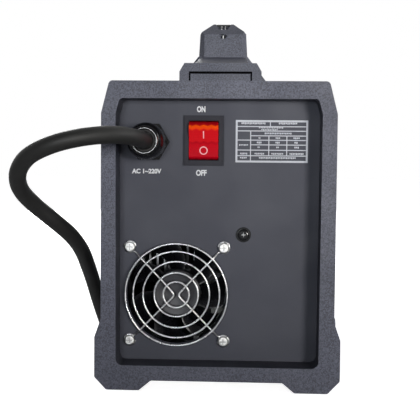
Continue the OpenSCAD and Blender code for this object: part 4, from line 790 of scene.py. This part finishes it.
def fan_blades():
    bm = bmesh.new()
    spans, chords = 9, 11
    rim = [(i, 0) for i in range(spans)] + [(spans - 1, j) for j in range(1, chords)]
    rim += [(i, chords - 1) for i in range(spans - 2, -1, -1)] + [(0, j) for j in range(chords - 2, 0, -1)]
    for blade in range(BLADES):
        base = blade * 360 / BLADES + BLADE_START
        sheets = []
        for side in (-1, 1):
            points = [[blade_point(base, side, i / (spans - 1), j / (chords - 1)) for j in range(chords)]
                      for i in range(spans)]
            sheets.append([[bm.verts.new(p) for p in row] for row in points])
        low, high = sheets
        for i in range(spans - 1):
            for j in range(chords - 1):
                bm.faces.new((low[i][j], low[i][j + 1], low[i + 1][j + 1], low[i + 1][j]))
                bm.faces.new((high[i][j], high[i + 1][j], high[i + 1][j + 1], high[i][j + 1]))
        for (a, b), (c, d) in zip(rim, rim[1:] + rim[:1]):
            bm.faces.new((low[a][b], low[c][d], high[c][d], high[a][b]))
    add_object("fan_blades", from_bmesh("fan_blades", bm), fan_black, "fan_rotor", "dark_plastic", angle=50)


fan_blades()

# ------------------------------------------------------------------ fan guard and screws
WIRE = 0.75  # radius of the guard's wires
SCREW_AT = 35.75  # from the fan's middle to its screws, sideways and up
RING_RADII = (38.7, 32.8, 25.2, 16.7, 9.8)
# heights of the rings, the support wires and their eyes over the panel, and the radius of the eyes
RING_Z, ARM_Z, EYE_Z, EYE_R = 5.02, 3.5, 0.8, 4.2
SCREW_SEAT = 1.6  # height of the undersides of the guard screws' heads
PANEL_SCREW = (18.9, 115)
for i, r in enumerate(RING_RADII):
    loop = [fan @ Vector((x, y, RING_Z)) for x, y in circle(r, 96)]
    tube_curve(f"guard_ring_{i}", loop, WIRE * MM, wire_metal, True, 3,
               replaces=("fan_guard",) if i == 0 else ())


def guard_arm_points():
    """Half of a support wire, from the guard's middle out to an eye and round the screw."""
    p, e = SCREW_AT, SCREW_AT - EYE_R * 0.72
    pts = [(2.1, 0, ARM_Z), (2.35, 1, ARM_Z), (3.2, 2.3, ARM_Z), (4.7, 3.9, ARM_Z), (12, 11.5, ARM_Z),
           (e - 8, e - 8.1, ARM_Z), (e - 5.2, e - 5.2, ARM_Z - 0.15), (e - 3, e - 2.9, 2.2),
           (e - 1.4, e - 1.2, 1.1)]
    turns = [math.radians(a) for a in range(-125, 180, 15)]
    return pts + [(p + EYE_R * math.cos(a), p + EYE_R * math.sin(a), EYE_Z) for a in turns]


half_arm = guard_arm_points()
for i, sx in enumerate((-1, 1)):
    line = [(x, -y, z) for x, y, z in reversed(half_arm[1:])] + half_arm
    pts = catmull([(sx * x, y - 0.6 * max(0, 1 - abs(y) / 12), z) for x, y, z in line], 4)
    tube_curve(f"guard_wire_{i}", [fan @ p for p in pts], WIRE * MM, wire_metal, sides=3,
               replaces=("guard_wires",) if i == 0 else ())

# painted shade: crosses at the floors of the guard screws' driver recesses, duller than the screws; painted
# glint: a cross in the black panel screw's recess, brighter than the screw
for i, (sx, sy) in enumerate(((-1, -1), (1, -1), (1, 1), (-1, 1))):
    place = fan @ Matrix.Translation((sx * SCREW_AT, sy * SCREW_AT, SCREW_SEAT + 1.3))
    prisms(f"guard_screw_recess_shade_{i}", cross(2.2, 0.42, 0.0, 0.1), place, steel, slot="zinc_steel")
prisms("panel_screw_glint", cross(1.6, 0.2, 2.21, 2.25), at_rear(*PANEL_SCREW), steel, slot="black_steel")

# ------------------------------------------------------------------ front print and display
front_place = at_front(0, 0)
KNOB_Z, DISPLAY_Z = 122.0, 184.0
DIAL_START, TICK_STEP, TICKS_PER_NUMBER, NUMBERS = 225, 9, 3, 11
TICK_IN, TICK_LONG, TICK_SHORT, NUMBER_R = 20.6, 23.8, 22.4, 26.6


def tick(angle, outer, half):
    """A line that points away from the knob's middle, twice half wide."""
    c, s = math.cos(angle), math.sin(angle)
    corners = ((TICK_IN, -half), (outer, -half), (outer, half), (TICK_IN, half))
    return ([(r * c - w * s, KNOB_Z + r * s + w * c) for r, w in corners], PRINT_LOW, PRINT_HIGH)


ticks = []
for i in range((NUMBERS - 1) * TICKS_PER_NUMBER + 1):
    angle = math.radians(DIAL_START - TICK_STEP * i)
    ticks.append(tick(angle, TICK_SHORT, 0.18) if i % TICKS_PER_NUMBER else tick(angle, TICK_LONG, 0.3))
prisms("dial_ticks", ticks, front_place, print_white, slot="panel_paint")
for i in range(NUMBERS):
    angle = math.radians(DIAL_START - TICK_STEP * TICKS_PER_NUMBER * i)
    lettering(f"dial_number_{i}", str(i), 3.6, front_place, NUMBER_R * math.cos(angle),
              KNOB_Z + NUMBER_R * math.sin(angle), 0.85, 0.08)


def outline_band(x0, x1, z0, z1, r, width):
    """A printed line round a rounded rectangle, as four-cornered strips."""
    outer = round_rectangle(x0, x1, z0, z1, r)
    inner = round_rectangle(x0 + width, x1 - width, z0 + width, z1 - width, r - width)
    n = len(outer)
    return [([outer[i], outer[(i + 1) % n], inner[(i + 1) % n], inner[i]], PRINT_LOW, PRINT_HIGH)
            for i in range(n)]


# frames as (left, right, low, high)
FRONT_FRAME, SOCKET_FRAMES, FRAME_R = (-62, 62, 90, 203), ((20, 66, 30, 82), (-66, -20, 30, 82)), 4
pointer = [(rectangle(-0.55, 0.55, 8.2, 13.6), 15.75, 16.05)]
prisms("knob_pointer", pointer, at_front(0, KNOB_Z), print_white, body="current_knob", slot="panel_paint")
prisms("front_frame", outline_band(*FRONT_FRAME, FRAME_R, 0.6), front_place, print_grey, slot="panel_paint")
socket_bands = [strip for box in SOCKET_FRAMES for strip in outline_band(*box, FRAME_R, 0.5)]
prisms("socket_frames", socket_bands, front_place, print_grey, slot="panel_paint")

# three digits of lit bars; each bar is (left, right, low, high) in its digit
DIGIT_LEFT, DIGIT_STEP, DIGIT_LOW = -17, 12.5, DISPLAY_Z - 8.6
LIT_LOW, LIT_HIGH = 1.21, 1.3  # heights over the panel
BARS = {"a": (1, 8, 16, 17.2), "b": (7.8, 9, 9, 16.4), "c": (7.8, 9, 0.8, 8.2), "d": (1, 8, 0, 1.2),
        "e": (0, 1.2, 0.8, 8.2), "f": (0, 1.2, 9, 16.4), "g": (1, 8, 8, 9.2)}
digits = []
for i, lit_bars in enumerate(("abcdef", "acdefg", "abcdef")):
    x0 = DIGIT_LEFT + DIGIT_STEP * i
    for name in lit_bars:
        a, b, c, d = BARS[name]
        digits.append((rectangle(x0 + a, x0 + b, DIGIT_LOW + c, DIGIT_LOW + d), LIT_LOW, LIT_HIGH))
prisms("display_digits", digits, front_place, digit_red)

# ------------------------------------------------------------------ CAD nodes that are shown as they are
SHOWN = {
    "guard_screws": bright_zinc, "guard_nuts": zinc, "panel_screw": black_screw, "side_screws": charcoal,
    "cover_screws": black_screw, "handle_screws": steel, "switch_terminals": brass,
    "gland_nut": black_gloss, "base_tray": cover_grey, "inner_frame": zinc,
    "display_window": display_glass(), "current_knob": black_matte, "potentiometer": zinc,
    "indicator_lamps": amber, "mode_button": yellow, "air_button": red_button,
    "button_bases": wire_metal, "work_socket": black_matte, "work_contact": brass,
    "torch_connector": brass, "trigger_socket": wire_metal, "control_board": board_green,
    "power_board": board_green, "board_posts": brass, "heat_sinks": aluminium,
    "power_modules": black_matte, "capacitors": sleeve_blue, "transformer_core": ferrite,
    "transformer_coil": copper, "output_inductor": copper, "mains_filter": zinc,
    "compressor_motor": cast, "compressor_rotor": zinc, "compressor_crankcase": cast,
    "compressor_head": aluminium, "compressor_plate": zinc, "compressor_feet": rubber,
    "air_valve": brass, "air_hose": hose_blue}
for node, mat in SHOWN.items():
    mesh = cad_nodes[node].data
    mesh.materials.clear()
    mesh.materials.append(mat)
    mesh.polygons.foreach_set("use_smooth", [True] * len(mesh.polygons))
    mesh.set_sharp_from_angle(angle=math.radians(SHARP_ANGLE))

# ------------------------------------------------------------------ floor, in metres
FLOOR, FLOOR_Z, FLOOR_GLOW = 12, -0.0004, 0.93
floor_mesh = bpy.data.meshes.new("floor")
corners = [(-FLOOR, -FLOOR, 0), (FLOOR, -FLOOR, 0), (FLOOR, FLOOR, 0), (-FLOOR, FLOOR, 0)]
floor_mesh.from_pydata(corners, [], [(0, 1, 2, 3)])
floor = bpy.data.objects.new("floor", floor_mesh)
floor.location.z = FLOOR_Z
scene.collection.objects.link(floor)
floor_mat, tree, shader, coord = node_tree("pale_floor")
tone = mixed(tree, noise(tree, coord, 3, 3), (0.78, 0.78, 0.79), (0.82, 0.82, 0.82))
tree.links.new(tone, shader.inputs["Base Color"])
set_inputs(shader, {"Roughness": 0.9, "Specular IOR Level": 0.1})
lit = tree.nodes.new("ShaderNodeEmission")
floor_seen = seen_directly(tree, tree.nodes.new("ShaderNodeLightPath"))
tree.links.new(math_node(tree, "MULTIPLY", floor_seen, FLOOR_GLOW), lit.inputs["Strength"])
glow_floor = tree.nodes.new("ShaderNodeAddShader")
tree.links.new(shader.outputs[0], glow_floor.inputs[0])
tree.links.new(lit.outputs[0], glow_floor.inputs[1])
tree.links.new(glow_floor.outputs[0], [n for n in tree.nodes if n.type == "OUTPUT_MATERIAL"][0].inputs[0])
floor_mesh.materials.append(floor_mat)

# ------------------------------------------------------------------ room: white to the camera, dim as light
world = bpy.data.worlds.new("studio")
scene.world = world
world.use_nodes = True
wt = world.node_tree
wt.nodes.clear()


def background(color, strength):
    shade = wt.nodes.new("ShaderNodeBackground")
    shade.inputs[0].default_value = (*color, 1)
    shade.inputs[1].default_value = strength
    return shade.outputs[0]


world_out = wt.nodes.new("ShaderNodeOutputWorld")
path = wt.nodes.new("ShaderNodeLightPath")
facing = axes(wt, wt.nodes.new("ShaderNodeNewGeometry").outputs["Incoming"])
backdrop = mapped(wt, facing["Y"], -0.1, -0.4, 0.12, 1)
mirrored = math_node(wt, "MULTIPLY", path.outputs["Is Glossy Ray"], backdrop)
shown = seen_directly(wt, path)
blend = wt.nodes.new("ShaderNodeMixShader")
wt.links.new(math_node(wt, "MAXIMUM", shown, mirrored), blend.inputs[0])
wt.links.new(background((0.97, 0.98, 1), 0.07), blend.inputs[1])
wt.links.new(background((1, 1, 1), 1.0), blend.inputs[2])
wt.links.new(blend.outputs[0], world_out.inputs[0])


# ------------------------------------------------------------------ lights, in metres
def area(name, location, target, size, power, color=(1, 1, 1), spread=180):
    data = bpy.data.lights.new(name, "AREA")
    data.shape = "RECTANGLE"
    data.size, data.size_y = size
    data.energy = power
    data.spread = math.radians(spread)
    data.color = color
    ob = bpy.data.objects.new(name, data)
    scene.collection.objects.link(ob)
    ob.location = location
    ob.rotation_euler = (Vector(target) - Vector(location)).to_track_quat("-Z", "Y").to_euler()


area("softbox_right", (0.72, -1.65, 0.26), (0.06, -0.19, 0.29), (0.35, 0.35), 0.74, (1, 0.975, 0.93), 34)
area("softbox_left", (-0.25, -1.85, 0.27), (0.0, -0.19, 0.29), (0.35, 0.35), 0.33, (0.93, 0.97, 1), 34)
area("softbox_side", (2.2, 0.1, 0.9), (0, 0, 0.12), (0.8, 1.2), 14)
area("softbox_back", (-0.6, 2.1, 0.7), (0, 0, 0.12), (1.3, 1.2), 46)
scene.view_settings.view_transform = "Standard"
